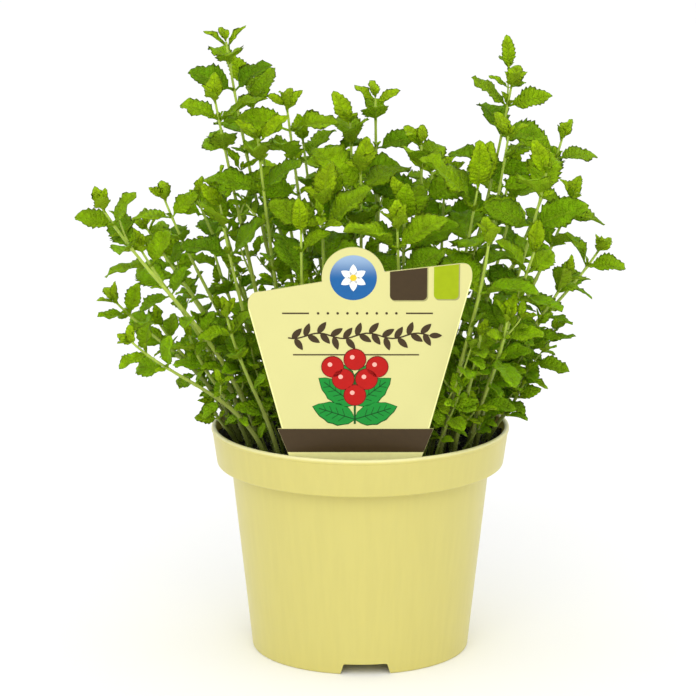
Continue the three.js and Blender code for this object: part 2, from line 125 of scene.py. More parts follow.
# Each stem: foot x, y; tip x, y, z; how upright it starts and ends (0 is straight to
# the tip); length of its full-grown leaves; pairs of leaves; turn of its second pair.
STEMS = [StemRow(*numbers) for numbers in [
    # tall and left-hand stems
    (-21, 3, -53, 4, 246, 0.1, 0.25, 15, 4, 100),
    (-29, -7, -57, -14, 226, 0.1, 0.05, 17, 3, 15),
    (-14, 17, -45, 16, 227, 0.1, 0.1, 20, 3, 60),
    (-10, -6, -29, -3, 221, 0.05, 0.1, 19, 4, 10),
    (-25, -19, -40, -24, 212, 0.15, 0.2, 18, 4, 70),
    (-5, 10, -23, 12, 206, 0.1, 0.2, 16, 3, 30),
    (-38, -24, -98, -61, 191, 0.55, 0, 16, 3, 8),
    (-36, 12, -86, 16, 169, 0.45, 0, 12, 3, 75),
    (-35, 3, -78, 0, 184, 0.3, 0.1, 14, 3, 10),
    (-25, 25, -66, 24, 180, 0.3, 0.1, 11, 3, 20),
    (-34, -17, -55, -20, 185, 0.3, 0.3, 18, 3, 80),
    (-43, -20, -85, -40, 171, 0.6, -0.1, 14, 3, 10),
    (-47, -6, -97, -14, 145, 0.6, -0.1, 13, 3, 20),
    (-36, -36, -88, -56, 138, 0.65, 0, 12, 3, 50),
    (-50, 2, -81, 6, 132, 0.55, 0, 12, 3, 40),
    (-43, -24, -67, -34, 136, 0.6, 0.2, 12, 3, 70),
    (-30, -2, -59, 6, 163, 0.3, 0.3, 15, 4, 35),
    (-31, -38, -52, -44, 146, 0.4, 0.4, 14, 3, 20),
    (-48, -13, -59, -24, 105, 0.5, 0.3, 9, 2, 10),
    # middle stems
    (1, 3, -4, 2, 214, 0.05, 0.2, 18, 4, 80),
    (8, 15, 6, 14, 222, 0.05, 0.2, 16, 4, 88),
    (1, -15, 0, -18, 199, 0.1, 0.2, 22, 3, 5),
    (-12, -31, -15, -34, 188, 0.15, 0.3, 25, 3, 8),
    (16, -22, 17, -26, 188, 0.1, 0.2, 18, 3, 75),
    (25, -5, 24, -4, 206, 0.05, 0, 19, 4, 55),
    (30, 18, 34, 18, 190, 0.1, 0.1, 15, 3, 45),
    (-22, -36, -23, -44, 180, 0.2, 0.3, 20, 3, 30),
    (18, -36, 14, -44, 181, 0.2, 0.3, 19, 3, 20),
    # right-hand stems
    (29, 6, 60, 6, 229, 0.1, 0.15, 18, 4, 10),
    (36, -9, 58, -12, 211, 0.2, 0.15, 17, 3, 50),
    (38, 21, 82, 30, 204, 0.3, 0.2, 18, 3, 8),
    (42, -19, 72, -28, 199, 0.3, 0.25, 21, 4, 80),
    (28, -18, 46, -20, 193, 0.2, 0, 25, 3, 5),
    (37, 9, 63, 10, 190, 0.2, 0.2, 15, 3, 70),
    (45, 8, 85, 14, 182, 0.35, 0.1, 19, 3, 20),
    (45, 19, 98, 37, 156, 0.5, 0.05, 15, 3, 8),
    (45, -18, 67, -40, 170, 0.35, 0.2, 17, 3, 40),
    (30, -38, 49, -54, 177, 0.3, 0.4, 20, 3, 30),
    (42, -26, 56, -61, 148, 0.4, 0.4, 16, 3, 10),
    (49, -9, 65, -14, 112, 0.3, 0.3, 9, 3, 30),
    (36, -34, 46, -56, 141, 0.4, 0.3, 14, 3, 60),
    # stems at the back
    (-33, 28, -60, 50, 180, 0.3, 0.2, 15, 3, 30),
    (-15, 37, -32, 55, 183, 0.3, 0.2, 18, 3, 70),
    (0, 30, -6, 42, 190, 0.2, 0.2, 18, 3, 10),
    (6, 42, 8, 58, 178, 0.4, 0.1, 19, 3, 40),
    (20, 33, 30, 52, 186, 0.3, 0.2, 18, 3, 60),
    (32, 32, 62, 52, 184, 0.4, 0.2, 18, 3, 20),
    (43, 16, 84, 16, 150, 0.5, 0.1, 14, 3, 50),
    (-40, 24, -78, 40, 152, 0.5, 0.1, 13, 3, 15),
    (22, 44, 42, 58, 146, 0.5, 0.1, 16, 3, 15),
]]
PAIR_STEPS = [2, 9, 21, 35, 50, 66]  # down the stem from its tip
PAIR_SIZES = [0.78, 1.18, 1.24, 1.14, 1, 0.9]  # of the full-grown leaf
PAIR_SPLAYS = [34, 48, 56, 62, 66, 70]  # degrees from the stem
# Other ways to hold a leaf that would touch a neighbour: turn, lift (degrees) and size.
SHIFTS = [
    (0, 0, 1), (16, 0, 1), (-16, 0, 1), (0, 14, 1), (0, -14, 1), (26, 12, 0.92),
    (-26, 12, 0.92), (30, -12, 0.85), (-30, -12, 0.85), (0, 24, 0.75), (45, 0, 0.7), (-45, 0, 0.7),
]
SWAYS = [0, 5, -5, 10, -10, 16, -16]

CURVE_START, CURVE_END = 0.4, 0.35  # reach of the centre line's handles, of its length
STEP_LEAST, STEP_LEAF = 0.6, 45  # a step down the stem, by the length of its leaves
LOWEST_PAIR = 0.12  # of the way up the stem
BLADE_PEAK, BLADE_FULLNESS = 0.82, 0.75  # where the blade is widest, and how blunt it is
JOINED_LENGTH = 2.6  # of the leaf, where it joins the stem
LIGHT_PULL = 0.7  # how far a leaf's face keeps to the stem's direction
LIGHT = np.array([0, -0.7, 0.7])  # and how far it turns to the light

# Chance in the leaves: a spread about zero, or a least value and a spread above it
TURN_SPREAD, SPLAY_SPREAD = 44, 26  # in degrees
SIZE = (0.82, 0.34)
DROOP = (0.15, 0.75)
TIP_DROOP = 0.4  # of the droop, in the pair at the tip
FOLD = (0.12, 0.38)
TILT_SPREAD = 0.9

# ---- what only the visual model has ----

# Pot and compost
POT_SIDES = 180
SHARP_ANGLE = 38  # edges sharper than this, in degrees, aren't shaded smooth
NOTCH_CUT = 14  # length of the tool
NOTCH_CUT_DEPTH = 9  # and how far it reaches in from the foot
DRAIN_SIDES = 28
DRAIN_CUT = 6
FLOW_STRETCH = 60  # length of a flow line, in widths
LIP_HIGHLIGHT_HEIGHT = 1.5  # height of the painted highlight along the top of the lip
WARM_PLASTIC = (1.03, 0.97, 0.86)  # tints of the plastic, in red, green and blue
# tint of the painted highlight on the top of the lip
LIP_HIGHLIGHT_TINT = (1.42, 1.5, 2.7)
SOIL_ROWS, SOIL_SIDES = 46, 150  # faces of the compost's top, inwards and round
SUNK = 0.3  # of the lump height, so that few lumps stand above the solid's top
BANK_CURVE = 2.5  # how sharply the bank climbs to the wall
CRUMB_SQUASHES = (1.0, 0.6, 0.42)  # height of each form of crumb, of its width
CRUMB_RADIUS = (0.72, 0.5)
CRUMB_SEED = 31
SIZE_SEED, TURN_SEED, FORM_SEED, TONE_SEED = 5, 7, 9, 11  # of the scattered crumbs
FULL_TURN = 6.28

# Print on the label: x, and h up the card
BAND_LOW = 0.9  # h of the band's lower edge
STRIPE_INSET = 0.08
CUT_INSET, CUT_WIDTH = 0.3, 0.42
RULE_H, RULE_WIDTH = 57.7, 0.55
RULES = [  # left, right, h and width
    (-30.2, -19.9, RULE_H, RULE_WIDTH),
    (17.3, 27.6, RULE_H, RULE_WIDTH),
    (-26.1, 22.4, 40.9, 0.5),
]
DOTS, DOTS_LEFT, DOT_GAP, DOT_RADIUS = 9, -16.4, 3.75, 0.5
DISC_RADIUS, DISC_LIFT = 9, 0.55
DISC_SHADE = (-0.001, 0.009)  # metres over its middle, where its paler top starts and ends
PETALS, PETAL_LENGTH, PETAL_WIDTH, EYE_RADIUS = 6, 5.4, 3.0, 1.3
BROWN_TAB = (11.1, 25.3, 63)  # left, right and bottom
LIME_TAB = (27.9, 37.4, 63.4)
TAB_SHADOWS = [(11.4, 25.75, 62.5), (28.2, 37.85, 62.9)]
GARLAND = {"h": 48.6, "rise": 1.1, "wave": 19, "left": -28, "first": -26.5, "end": 26.2,
           "pairs": 11, "gap": 4.95, "beside": 1.1, "open": 52, "leaf": 5.6, "width": 2.5}
TWIG_STEPS, TWIG_STEP, TWIG_OVERLAP = 27, 2, 0.1  # of the garland's wavy twig
SPRIG_X = -2.3  # of the printed sprig's upright twig
SPRIG_LEAVES = [  # height, angle from the twig, length and width of each pair
    (14.5, 72, 17, 9),
    (20.5, 52, 17.5, 9),
    (27, 38, 14, 7),
]
SPRIG_BERRIES = [(-8.6, 36), (8.6, 36), (0, 39), (-4.5, 31), (4.5, 31), (0, 24.5)]
SPRIG_BOTTOM, SPRIG_TOP = 12.6, 30
BERRY_RADIUS = 4.1
SHINE_RADIUS, SHINE_OFFSET = 0.9, 1.0
GREEN_EDGE, RED_EDGE = 0.35, 0.3  # width of the dark outlines
TWIG_WIDTH, RIB_WIDTH, SIDE_RIB_WIDTH = 0.8, 0.38, 0.24
RIB_PAIRS = 4

# Lower pairs of leaves
LOWER_STEPS = [36, 50, 64, 78, 92, 106]  # down the stem from its tip
LOWER_SIZES = [0.8, 0.76, 0.72, 0.68, 0.62, 0.56]
LOWER_TOP_Z = 145  # few of these pairs grow above this height, and the painted shade on the stems ends there
HIGH_PAIR_CHANCE = 0.3  # of a pair above it
LOWEST_LEAF = 0.1  # of the way up the stem
LOWER_GAP = 9  # least step below the solid's lowest pair
LOWER_SPLAY, LOWER_SPLAY_SPREAD = 62, 22
LOWER_AGE = (0.7, 0.3)

# Stalks and side shoots
STALK_STEPS = 26  # lengths of a stem's centre line
CORE_STEPS = 150  # points of a stem's centre line that leaves keep clear of
LOWEST_JOINT = 0.15  # of the way up the stem
JOINT_LENGTH = 3.2  # of the swelling where leaves grow
JOINT_SWELL = 1.22
SHOOT_STEPS = 6
SHOOT_RADIUS, SHOOT_TAPER = 0.62, 0.27  # at its foot, and how much less at its end
SHOOT_AGE = 0.25
SHOOT_TOP_Z = 150  # few side shoots grow above this height
CROWD_RADIUS = 58  # or further from the axis than this
SHOOT_CHANCE, FAR_SHOOT_CHANCE = 0.62, 0.12
LOWEST_SHOOT = 0.08  # of the way up the stem
SHOOT_TURN = 50
SHOOT_SPLAY = (34, 26)
SHOOT_LENGTH = (0.35, 0.55)  # of the stem's full-grown leaf
SHOOT_MIDDLE, SHOOT_END = 0.55, 0.5  # how far the shoot's handle and end reach, of its length
SHOOT_RISE = 0.55  # how far it turns up
SHOOT_PAIRS = [(1.0, 38, 1), (0.55, 58, 0.8)]  # place along the shoot, splay and size
SHOOT_LEAF = (0.38, 0.3)
SHOOT_LEAF_TURN, SHOOT_LEAF_SPLAY = 30, 24
SHOOT_LEAF_AGE = (0.15, 0.25)

# Small leaves and buds
SMALL_SIZE = (0.85, 0.3)
SMALL_DROOP, SMALL_FOLD = (0.15, 0.5), (0.18, 0.35)
SMALL_SHIFTS = SHIFTS[:5]
TIP_LEAF = 8  # length of the small leaves round a tip
TIP_LEAF_TURN, TIP_LEAF_SPLAY, TIP_LEAF_SIZE = 50, (30, 18), (0.75, 0.5)
TIP_WIDTH = 0.84  # of a young leaf, as a share of a full-grown leaf of its length
AXIL_LEAF = (3.4, 3.4)
AXIL_LEAF_TURN, AXIL_LEAF_SPLAY, AXIL_LEAF_AGE = 60, (30, 22), (0.1, 0.2)
HIGH_LEAF_CHANCE = 0.45  # of a small leaf above the side shoots
TIP_BUD, SHOOT_BUD, SPRIG_BUD = (4.2, 1.6), (2.6, 1.2), (2.5, 1)  # lengths
BUD_SPLAY, BUD_FOLD = (15, 10), 0.6

# Short sprigs
SPRIGS = 46  # places tried between the stems
SPRIG_STEPS = [1.5, 6, 12, 18, 25, 32]
SPRIG_SIZES = [0.6, 0.9, 1, 1, 0.95, 0.9]
SPRIG_OWNER = 99
SPRIG_RING = (14, 37)  # distance from the axis
SPRIG_HEIGHT, SPRIG_LEAF, SPRIG_LEAN = (12, 26), (6.5, 4), (0.15, 0.5)
SPRIG_RISE, SPRIG_FINISH, SPRIG_PAIRS, SPRIG_SWAY = 0.5, 0.3, 4, 3  # as in a stem's row
SPRIG_AGE = (0.3, 0.5)
FRONT_SPRIGS = 40  # further places, for taller ones on both sides of the label
FRONT_SIDES = 4  # one in so many stands to the left of the label
FRONT_TURN = (30, 60)  # degrees from the front
FRONT_RING = (36, 14)
FRONT_TALLER, FRONT_LARGER = 16, 4.5  # in height, and in length of leaf
GOLDEN_ANGLE = math.pi * (3 - math.sqrt(5))

# Room that the leaves keep clear
EXTRA_REACH = (113, 78)  # of all leaves from the axis, in x and y
POT_CLEARANCE, RIM_MARGIN = 1.5, 4.5
BARE_HEIGHT = 13  # of the space without small leaves over the front of the compost
BARE_BACK = 14  # y where that space ends
BARE_RADIUS = 24  # and how far from the axis it starts
LABEL_MARGIN, CLOSE_MARGIN = 4, 1  # beside the card, for large and small leaves
LABEL_CLEARANCE = 2  # behind and above the card
CARD_LEFT, CARD_RIGHT = -43, 42

# Looks of leaves and stems
LEAF_SHADE_TOP_Z = 115  # below this height leaves are darkened by painted shade
SHADED_LEAF_LIGHT, SHADED_STALK_LIGHT = 0.8, 0.33  # share of its light that the lowest keeps under the painted shade
LEAF_NOMINAL = 18  # length at which a blade has its full relief
RELIEF = (0.35, 0.65)  # of the full relief: the least, and what length adds
WAVE = (0.016, 0.042)  # height of the waves in the edge, of the leaf's length
LEAF_GLOW, HAIR_GLOW = 0.36, 0.5  # shares of the light that come through from behind
GLOW_TINT = (1.55, 1.65, 0.5)
NET_CELL = 0.0013  # width of the cells between the finest veins, in metres

PLANT_SEED = 1009
EXTRA_SEED = 7001
SPRIG_SEED = 4242
SEED_STEP = 97
LOOK_SEED_STEP = 13

UP = np.array([0.0, 0.0, 1.0])
AWAY = np.array([0.0, 1.0, 0.0])

# Stage, in metres
FLOOR_REACH = 20
KEY_PLACE, KEY_SIZE, KEY_TARGET = (-0.15, -2.2, 1.75), (2.4, 1.6), (0, 0, 0.12)
CAMERA_NEAR, CAMERA_FAR = 0.05, 60

# Camera: place, and the point it looks at, in millimetres, and its long lens
CAMERA_PLACE = (-4.94, -1300, 415)
CAMERA_TARGET = (-4.94, 0, 123.1)
FOCAL_PIXELS = 3318.3
PICTURE_PIXELS = 696
SENSOR = 36


def to_linear(hex_colour):
    """An sRGB hex colour as linear red, green and blue."""
    parts = [int(hex_colour[i:i + 2], 16) / 255 for i in (1, 3, 5)]
    return tuple(p / 12.92 if p <= 0.04045 else ((p + 0.055) / 1.055) ** 2.4 for p in parts)


def toned(colour, *shares):
    """A colour whose light is changed by one share, or by one for each channel."""
    if len(shares) == 1:
        shares *= len(colour)
    return tuple(min(1.0, c * s) for c, s in zip(colour, shares))


# ---- settings ----


def colour_setting(name, description, hex_colour):
    """A colour that the panel shows."""
    return bpy.props.FloatVectorProperty(
        name=name, description=description, subtype="COLOR", min=0, max=1,
        default=to_linear(hex_colour))


def number_setting(name, description, default, least=0, **options):
    """A number that the panel shows."""
    return bpy.props.FloatProperty(
        name=name, description=description, default=default, min=least, **options)


def length_setting(name, description, default, least=0):
    """A length that the panel shows, its default in metres."""
    return number_setting(name, description, default, least, unit="LENGTH")


class MintPotSettings(bpy.types.PropertyGroup):
    """The moulded pot."""

    colour: colour_setting("Plastic", "Colour of the pot's plastic", "#cfc570")
    roughness: number_setting(
        "Roughness", "Roughness of the moulded skin", 0.36, subtype="FACTOR", max=1)
    streak: length_setting(
        "Flow line spacing", "Distance between the faint upright flow lines", 0.0024, 0.001)


class MintCompostSettings(bpy.types.PropertyGroup):
    """The compost in the pot."""

    colour: colour_setting("Peat", "Colour of the damp peat", "#1d1a15")
    lumps: length_setting("Lump height", "How far the compost's surface heaves", 0.0016)
    bank: length_setting(
        "Bank height", "How far the compost is heaped up at the pot's wall", 0.005)
    crumb: length_setting("Crumb size", "Width of a middling crumb", 0.0015, 0.0003)
    density: number_setting(
        "Crumb density", "Crumbs on a square metre of the surface", 230000)


class MintLabelSettings(bpy.types.PropertyGroup):
    """The printed label."""

    card: colour_setting("Card", "Colour of the card", "#d8d38b")
    brown: colour_setting("Brown ink", "Colour of the band, rules and garland", "#42331d")
    blue: colour_setting("Blue ink", "Colour of the disc", "#1c609e")
    lime: colour_setting("Lime ink", "Colour of the green tab", "#9eb100")
    green: colour_setting("Green ink", "Colour of the printed leaves", "#138a30")
    red: colour_setting("Red ink", "Colour of the printed berries", "#b60f08")
    ink: length_setting(
        "Ink thickness", "How far a layer of ink stands off the card", 0.00005, 0.00001)


class MintPlantSettings(bpy.types.PropertyGroup):
    """The leafy stems."""

    leaf: colour_setting("Leaf", "Colour of a full-grown leaf's face", "#98c300")
    dark_leaf: colour_setting("Dark leaf", "Colour of the darkest leaves", "#699600")
    young_leaf: colour_setting("Young leaf", "Colour of the leaves at the tips", "#b4d004")
    underside: colour_setting("Underside", "Colour of a leaf's paler underside", "#98ad22")
    vein: colour_setting("Vein", "Colour of the midrib and side veins", "#b4cd34")
    stalk: colour_setting("Stalk", "Colour of the stems and leaf stalks", "#b0c84a")
    hair_length: length_setting(
        "Hair length", "Length of the hairs on the stems", 0.0011, 0.0001)
    hair_radius: length_setting(
        "Hair radius", "Radius of a hair at its root", 0.00005, 0.00001)
    hair_density: number_setting("Hair density", "Hairs on a square metre of stem", 450000)


class MintStageSettings(bpy.types.PropertyGroup):
    """Floor and lights."""

    floor: colour_setting("Floor", "Colour of the plain floor", "#fbfbfb")
    sky: number_setting("Surround", "Strength of the even light from all round", 1.03)
    key: number_setting("Key light", "Power of the large soft light, in watts", 23)


# ---- meshes ----


def new_piece(name, points, faces, smooth=True):
    """A mesh object from points in millimetres."""
    mesh = bpy.data.meshes.new(name)
    mesh.from_pydata([[c * MM for c in p] for p in points], [], faces)
    mesh.validate()
    if smooth:
        mesh.shade_smooth()
    else:
        mesh.shade_flat()
    return in_scene(name, mesh)


def in_scene(name, data):
    """A new object in the scene, from its mesh, light or camera."""
    thing = bpy.data.objects.new(name, data)
    bpy.context.scene.collection.objects.link(thing)
    return thing


def outward(piece):
    """Merges doubled points and turns a closed piece's faces outwards."""
    work = bmesh.new()
    work.from_mesh(piece.data)
    bmesh.ops.remove_doubles(work, verts=work.verts, dist=0.002 * MM)
    bmesh.ops.recalc_face_normals(work, faces=work.faces)
    work.to_mesh(piece.data)
    work.free()


def hand_over(piece, slot, *nodes):
    """Puts a finished piece on the frame, in the place of its nodes."""
    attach(piece, "root")
    if nodes:
        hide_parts(*nodes)


def settled(piece, context):
    """Turns a piece's modifiers into plain mesh, and takes them off."""
    depsgraph = context.evaluated_depsgraph_get()
    mesh = bpy.data.meshes.new_from_object(
        piece.evaluated_get(depsgraph), preserve_all_data_layers=True, depsgraph=depsgraph)
    piece.modifiers.clear()
    piece.data = mesh
    mesh.name = piece.name


def unit(vector):
    """A vector of length 1."""
    return vector / math.sqrt(vector @ vector)


def rounded(corners, steps=5):
    """A profile whose corners (radius, z, fillet) are rounded by arcs."""
    points = []
    for i, (r, z, fillet) in enumerate(corners):
        corner = np.array([r, z], float)
        if not fillet:
            points.append(corner)
            continue
        before = unit(np.array(corners[i - 1][:2]) - corner)
        after = unit(np.array(corners[i + 1][:2]) - corner)
        half = math.acos(max(-1.0, min(1.0, before @ after))) / 2
        reach = fillet / math.tan(half)
        centre = corner + unit(before + after) * fillet / math.sin(half)
        start = corner + before * reach - centre
        end = corner + after * reach - centre
        for k in range(steps + 1):
            between = start * (1 - k / steps) + end * (k / steps)
            points.append(centre + unit(between) * fillet)
    return points


def turned(profile, sides):
    """Points and faces of a profile (radius, z) turned about Z, from axis to axis."""
    points = [(0, 0, profile[0][1])]
    rings = profile[1:-1]
    for r, z in rings:
        for k in range(sides):
            angle = 2 * math.pi * k / sides
            points.append((r * math.cos(angle), r * math.sin(angle), z))
    points.append((0, 0, profile[-1][1]))
    last = len(points) - 1
    faces = []
    for k in range(sides):
        after = (k + 1) % sides
        faces.append((0, 1 + after, 1 + k))
        for j in range(len(rings) - 1):
            low, high = 1 + j * sides, 1 + (j + 1) * sides
            faces.append((low + k, low + after, high + after, high + k))
        top = 1 + (len(rings) - 1) * sides
        faces.append((top + k, top + after, last))
    return points, faces


def keep_values(mesh, name, kind, values, domain="POINT"):
    """Stores a value for each point or face of a mesh, under a name."""
    field = "vector" if kind == "FLOAT_VECTOR" else "value"
    mesh.attributes.new(name, kind, domain).data.foreach_set(field, values)


def remove_all(forms):
    """Removes the objects that a tree has copied."""
    for form in list(forms.objects):
        bpy.data.objects.remove(form)


# ---- nodes ----

MIX_FACTOR, MIX_A, MIX_B, MIX_RESULT = 0, 6, 7, 2  # a colour Mix node's sockets
RANDOM_SOCKETS = {"FLOAT_VECTOR": (0, 0), "FLOAT": (2, 1), "INT": (4, 2)}  # first input, output


def add(tree, kind, inputs=None, **settings):
    """Adds a node with its settings, and sets its inputs or links them to values or nodes."""
    node = tree.nodes.new(kind)
    for name, value in settings.items():
        setattr(node, name, value)
    for name, value in (inputs or {}).items():
        socket = node.inputs[name]
        if isinstance(value, Value):
            value = value.source
        if isinstance(value, bpy.types.Node):
            value = value.outputs[0]
        if isinstance(value, bpy.types.NodeSocket):
            tree.links.new(value, socket)
        else:
            socket.default_value = (*value, 1.0) if socket.type == "RGBA" else value
    return node


class Value:
    """A number or vector in a tree. Each step of arithmetic with it adds a math node."""

    def __init__(self, tree, source, kind="Math"):
        self.tree, self.source, self.kind = tree, source, kind

    def step(self, operation, *others):
        operands = dict(enumerate((self, *others)))
        node = add(self.tree, f"ShaderNode{self.kind}", operands, operation=operation)
        return Value(self.tree, node, self.kind)

    def __add__(self, other):
        return self.step("ADD", other)

    def __sub__(self, other):
        return self.step("SUBTRACT", other)

    def __rsub__(self, other):
        return Value(self.tree, maths(self.tree, "SUBTRACT", other, self))

    def __truediv__(self, other):
        return self.step("DIVIDE", other)

    def __mul__(self, other):
        if self.kind == "VectorMath":
            return Value(self.tree, scaled(self.tree, self, other), self.kind)
        return self.step("MULTIPLY", other)


def new_material(name):
    """An empty node material, with its tree and its Object coordinates."""
    material = bpy.data.materials.new(name)
    material.use_nodes = True
    tree = material.node_tree
    tree.nodes.clear()
    return material, tree, add(tree, "ShaderNodeTexCoord").outputs["Object"]


def surfaced(material, surface):
    """A material, finished with its surface."""
    add(material.node_tree, "ShaderNodeOutputMaterial", {"Surface": surface})
    return material


def principled(tree, colour, roughness, **others):
    """The main surface. The inputs among others have _ for a space in their names."""
    return add(tree, "ShaderNodeBsdfPrincipled", {
        "Base Color": colour, "Roughness": roughness,
        **{name.replace("_", " "): value for name, value in others.items()}})


def noise(tree, vector, scale, detail=2.0, **others):
    """Soft random clouds."""
    return add(tree, "ShaderNodeTexNoise", {
        "Vector": vector, "Scale": scale, "Detail": detail, **others})


def bumps(tree, height, strength, distance):
    """Small relief that the light shows."""
    return add(tree, "ShaderNodeBump", {
        "Height": height, "Strength": strength, "Distance": distance})


def map_range(tree, value, old, new, kind="LINEAR"):
    """Brings a value from one range into another."""
    return add(tree, "ShaderNodeMapRange", {
        "Value": value, "From Min": old[0], "From Max": old[1],
        "To Min": new[0], "To Max": new[1]}, interpolation_type=kind)


def blend(tree, share, first, second):
    """The first colour, with a share of the second mixed in."""
    return add(tree, "ShaderNodeMix", {
        MIX_FACTOR: share, MIX_A: first, MIX_B: second}, data_type="RGBA").outputs[MIX_RESULT]


def scaled(tree, vector, share):
    """A colour or vector times a number."""
    return add(tree, "ShaderNodeVectorMath", {0: vector, "Scale": share}, operation="SCALE")


def maths(tree, operation, *operands):
    """The result of one step of arithmetic."""
    return add(tree, "ShaderNodeMath", dict(enumerate(operands)), operation=operation)


def height_of(tree, vector):
    """The upright part of a vector."""
    return add(tree, "ShaderNodeSeparateXYZ", {0: vector}).outputs["Z"]


def carried(tree, name):
    """A number that the points of the final mesh carry, for a material."""
    return add(tree, "ShaderNodeAttribute", attribute_name=name).outputs["Fac"]


def stored(tree, name, kind="FLOAT"):
    """A value that the points carry, for a geometry tree."""
    return add(tree, "GeometryNodeInputNamedAttribute", {"Name": name}, data_type=kind)


def random_value(tree, low, high, seed, kind="FLOAT"):
    """A random value for each point."""
    first, output = RANDOM_SOCKETS[kind]
    return add(tree, "FunctionNodeRandomValue", {
        first: low, first + 1: high, "Seed": seed}, data_type=kind).outputs[output]


def copies(tree, points, forms, choice, **others):
    """A copy of one of the forms on each point, as real geometry."""
    shapes = add(tree, "GeometryNodeCollectionInfo", {
        "Collection": forms, "Separate Children": True, "Reset Children": True})
    placed = add(tree, "GeometryNodeInstanceOnPoints", {
        "Points": points, "Instance": shapes, "Pick Instance": True,
        "Instance Index": choice, **others})
    return add(tree, "GeometryNodeRealizeInstances", {0: placed})


def with_material(tree, geometry, material):
    """Geometry with its material."""
    return add(tree, "GeometryNodeSetMaterial", {
        "Geometry": geometry, "Material": material}).outputs[0]


def joined(tree, parts):
    """Several geometries as one."""
    join = add(tree, "GeometryNodeJoinGeometry")
    for part in parts:
        tree.links.new(part, join.inputs[0])
    return join


def new_tree(name, sizes):
    """A geometry node tree with inputs for its geometry, sizes and seed, and one output."""
    tree = bpy.data.node_groups.new(name, "GeometryNodeTree")
    tree.interface.new_socket("Geometry", in_out="INPUT", socket_type="NodeSocketGeometry")
    for label in sizes:
        tree.interface.new_socket(label, in_out="INPUT", socket_type="NodeSocketFloat")
    tree.interface.new_socket("Seed", in_out="INPUT", socket_type="NodeSocketInt")
    tree.interface.new_socket("Geometry", in_out="OUTPUT", socket_type="NodeSocketGeometry")
    return tree, add(tree, "NodeGroupInput").outputs


def run_tree(piece, tree, values, context):
    """Runs a geometry node tree on a piece with named input values, and settles the result."""
    modifier = piece.modifiers.new(tree.name, "NODES")
    modifier.node_group = tree
    for item in tree.interface.items_tree:
        if item.in_out == "INPUT" and item.name in values:
            modifier[item.identifier] = values[item.name]
    settled(piece, context)


# ---- pot ----


def wall_radius(z):
    """Outer radius of the pot's wall."""
    return FOOT_RADIUS + WALL_TAPER * z


def pot_profile():
    """The pot's section, from the axis under its base, round the wall and rim, to the axis inside."""
    shelf = COLLAR_BOTTOM_Z + WALL
    floor = BASE_Z + WALL
    return rounded([
        (0, BASE_Z, 0),
        (wall_radius(BASE_Z) - WALL - 0.2, BASE_Z, 0.7),
        (wall_radius(0) - WALL, 0, 0.4),
        (FOOT_RADIUS, 0, 0.8),
        (wall_radius(COLLAR_BOTTOM_Z), COLLAR_BOTTOM_Z, 1.2),
        (COLLAR_BOTTOM_RADIUS, COLLAR_BOTTOM_Z, 0.9),
        (RIM_RADIUS - 0.35, POT_HEIGHT - LIP, 0.5),
        (RIM_RADIUS, POT_HEIGHT - LIP + 0.4, 0.4),
        (RIM_RADIUS, POT_HEIGHT, 0.95),
        (RIM_RADIUS - LIP, POT_HEIGHT, 0.95),
        (RIM_RADIUS - LIP + 0.1, POT_HEIGHT - LIP, 0.3),
        (COLLAR_BOTTOM_RADIUS - WALL, shelf, 0.8),
        (wall_radius(shelf) - WALL, shelf, 0.8),
        (wall_radius(floor) - WALL, floor, 2.2),
        (0, floor, 0),
    ])


def bar(outline, length):
    """Points and faces of an outline (x, y) drawn out along Z."""
    n = len(outline)
    points = [(x, y, 0) for x, y in outline] + [(x, y, length) for x, y in outline]
    faces = [tuple(range(n))[::-1], tuple(range(n, 2 * n))]
    faces += [(i, (i + 1) % n, n + (i + 1) % n, n + i) for i in range(n)]
    return points, faces


def notch_cutter(bearing):
    """A tool for one drainage notch: its outline rounded, lying across the foot."""
    half = NOTCH_WIDTH / 2
    outline = rounded([
        (-half - 1, -1, 0),
        (half + 1, -1, 0),
        (half, 1, 0.5),
        (half - 1, NOTCH_HEIGHT, 0.9),
        (1 - half, NOTCH_HEIGHT, 0.9),
        (-half, 1, 0.5),
        (-half - 1, -1, 0),
    ])[:-1]
    points, faces = bar(outline, NOTCH_CUT)
    angle = math.radians(bearing + 90)
    cos, sin = math.cos(angle), math.sin(angle)
    placed = []
    for x, z, depth in points:
        y = NOTCH_CUT_DEPTH - FOOT_RADIUS - depth
        placed.append((x * cos - y * sin, x * sin + y * cos, z))
    return placed, faces


def drain_cutter(x, y):
    """A tool for one round drain hole in the base."""
    ring = [2 * math.pi * k / DRAIN_SIDES for k in range(DRAIN_SIDES)]
    outline = [(x + DRAIN_RADIUS * math.cos(a), y + DRAIN_RADIUS * math.sin(a)) for a in ring]
    points, faces = bar(outline, DRAIN_CUT)
    return [(px, py, pz + BASE_Z - DRAIN_CUT / 3) for px, py, pz in points], faces


def gathered(parts):
    """The points and faces of several parts as one."""
    points, faces = [], []
    for part_points, part_faces in parts:
        faces += [tuple(i + len(points) for i in face) for face in part_faces]
        points += part_points
    return points, faces


def cut_from(piece, cutters, context):
    """Cuts the tools out of a piece."""
    tool = new_piece("cutting_tool", *gathered(cutters))
    outward(tool)
    modifier = piece.modifiers.new("Cut", "BOOLEAN")
    modifier.operation = "DIFFERENCE"
    modifier.solver = "EXACT"
    modifier.object = tool
    settled(piece, context)
    bpy.data.objects.remove(tool)


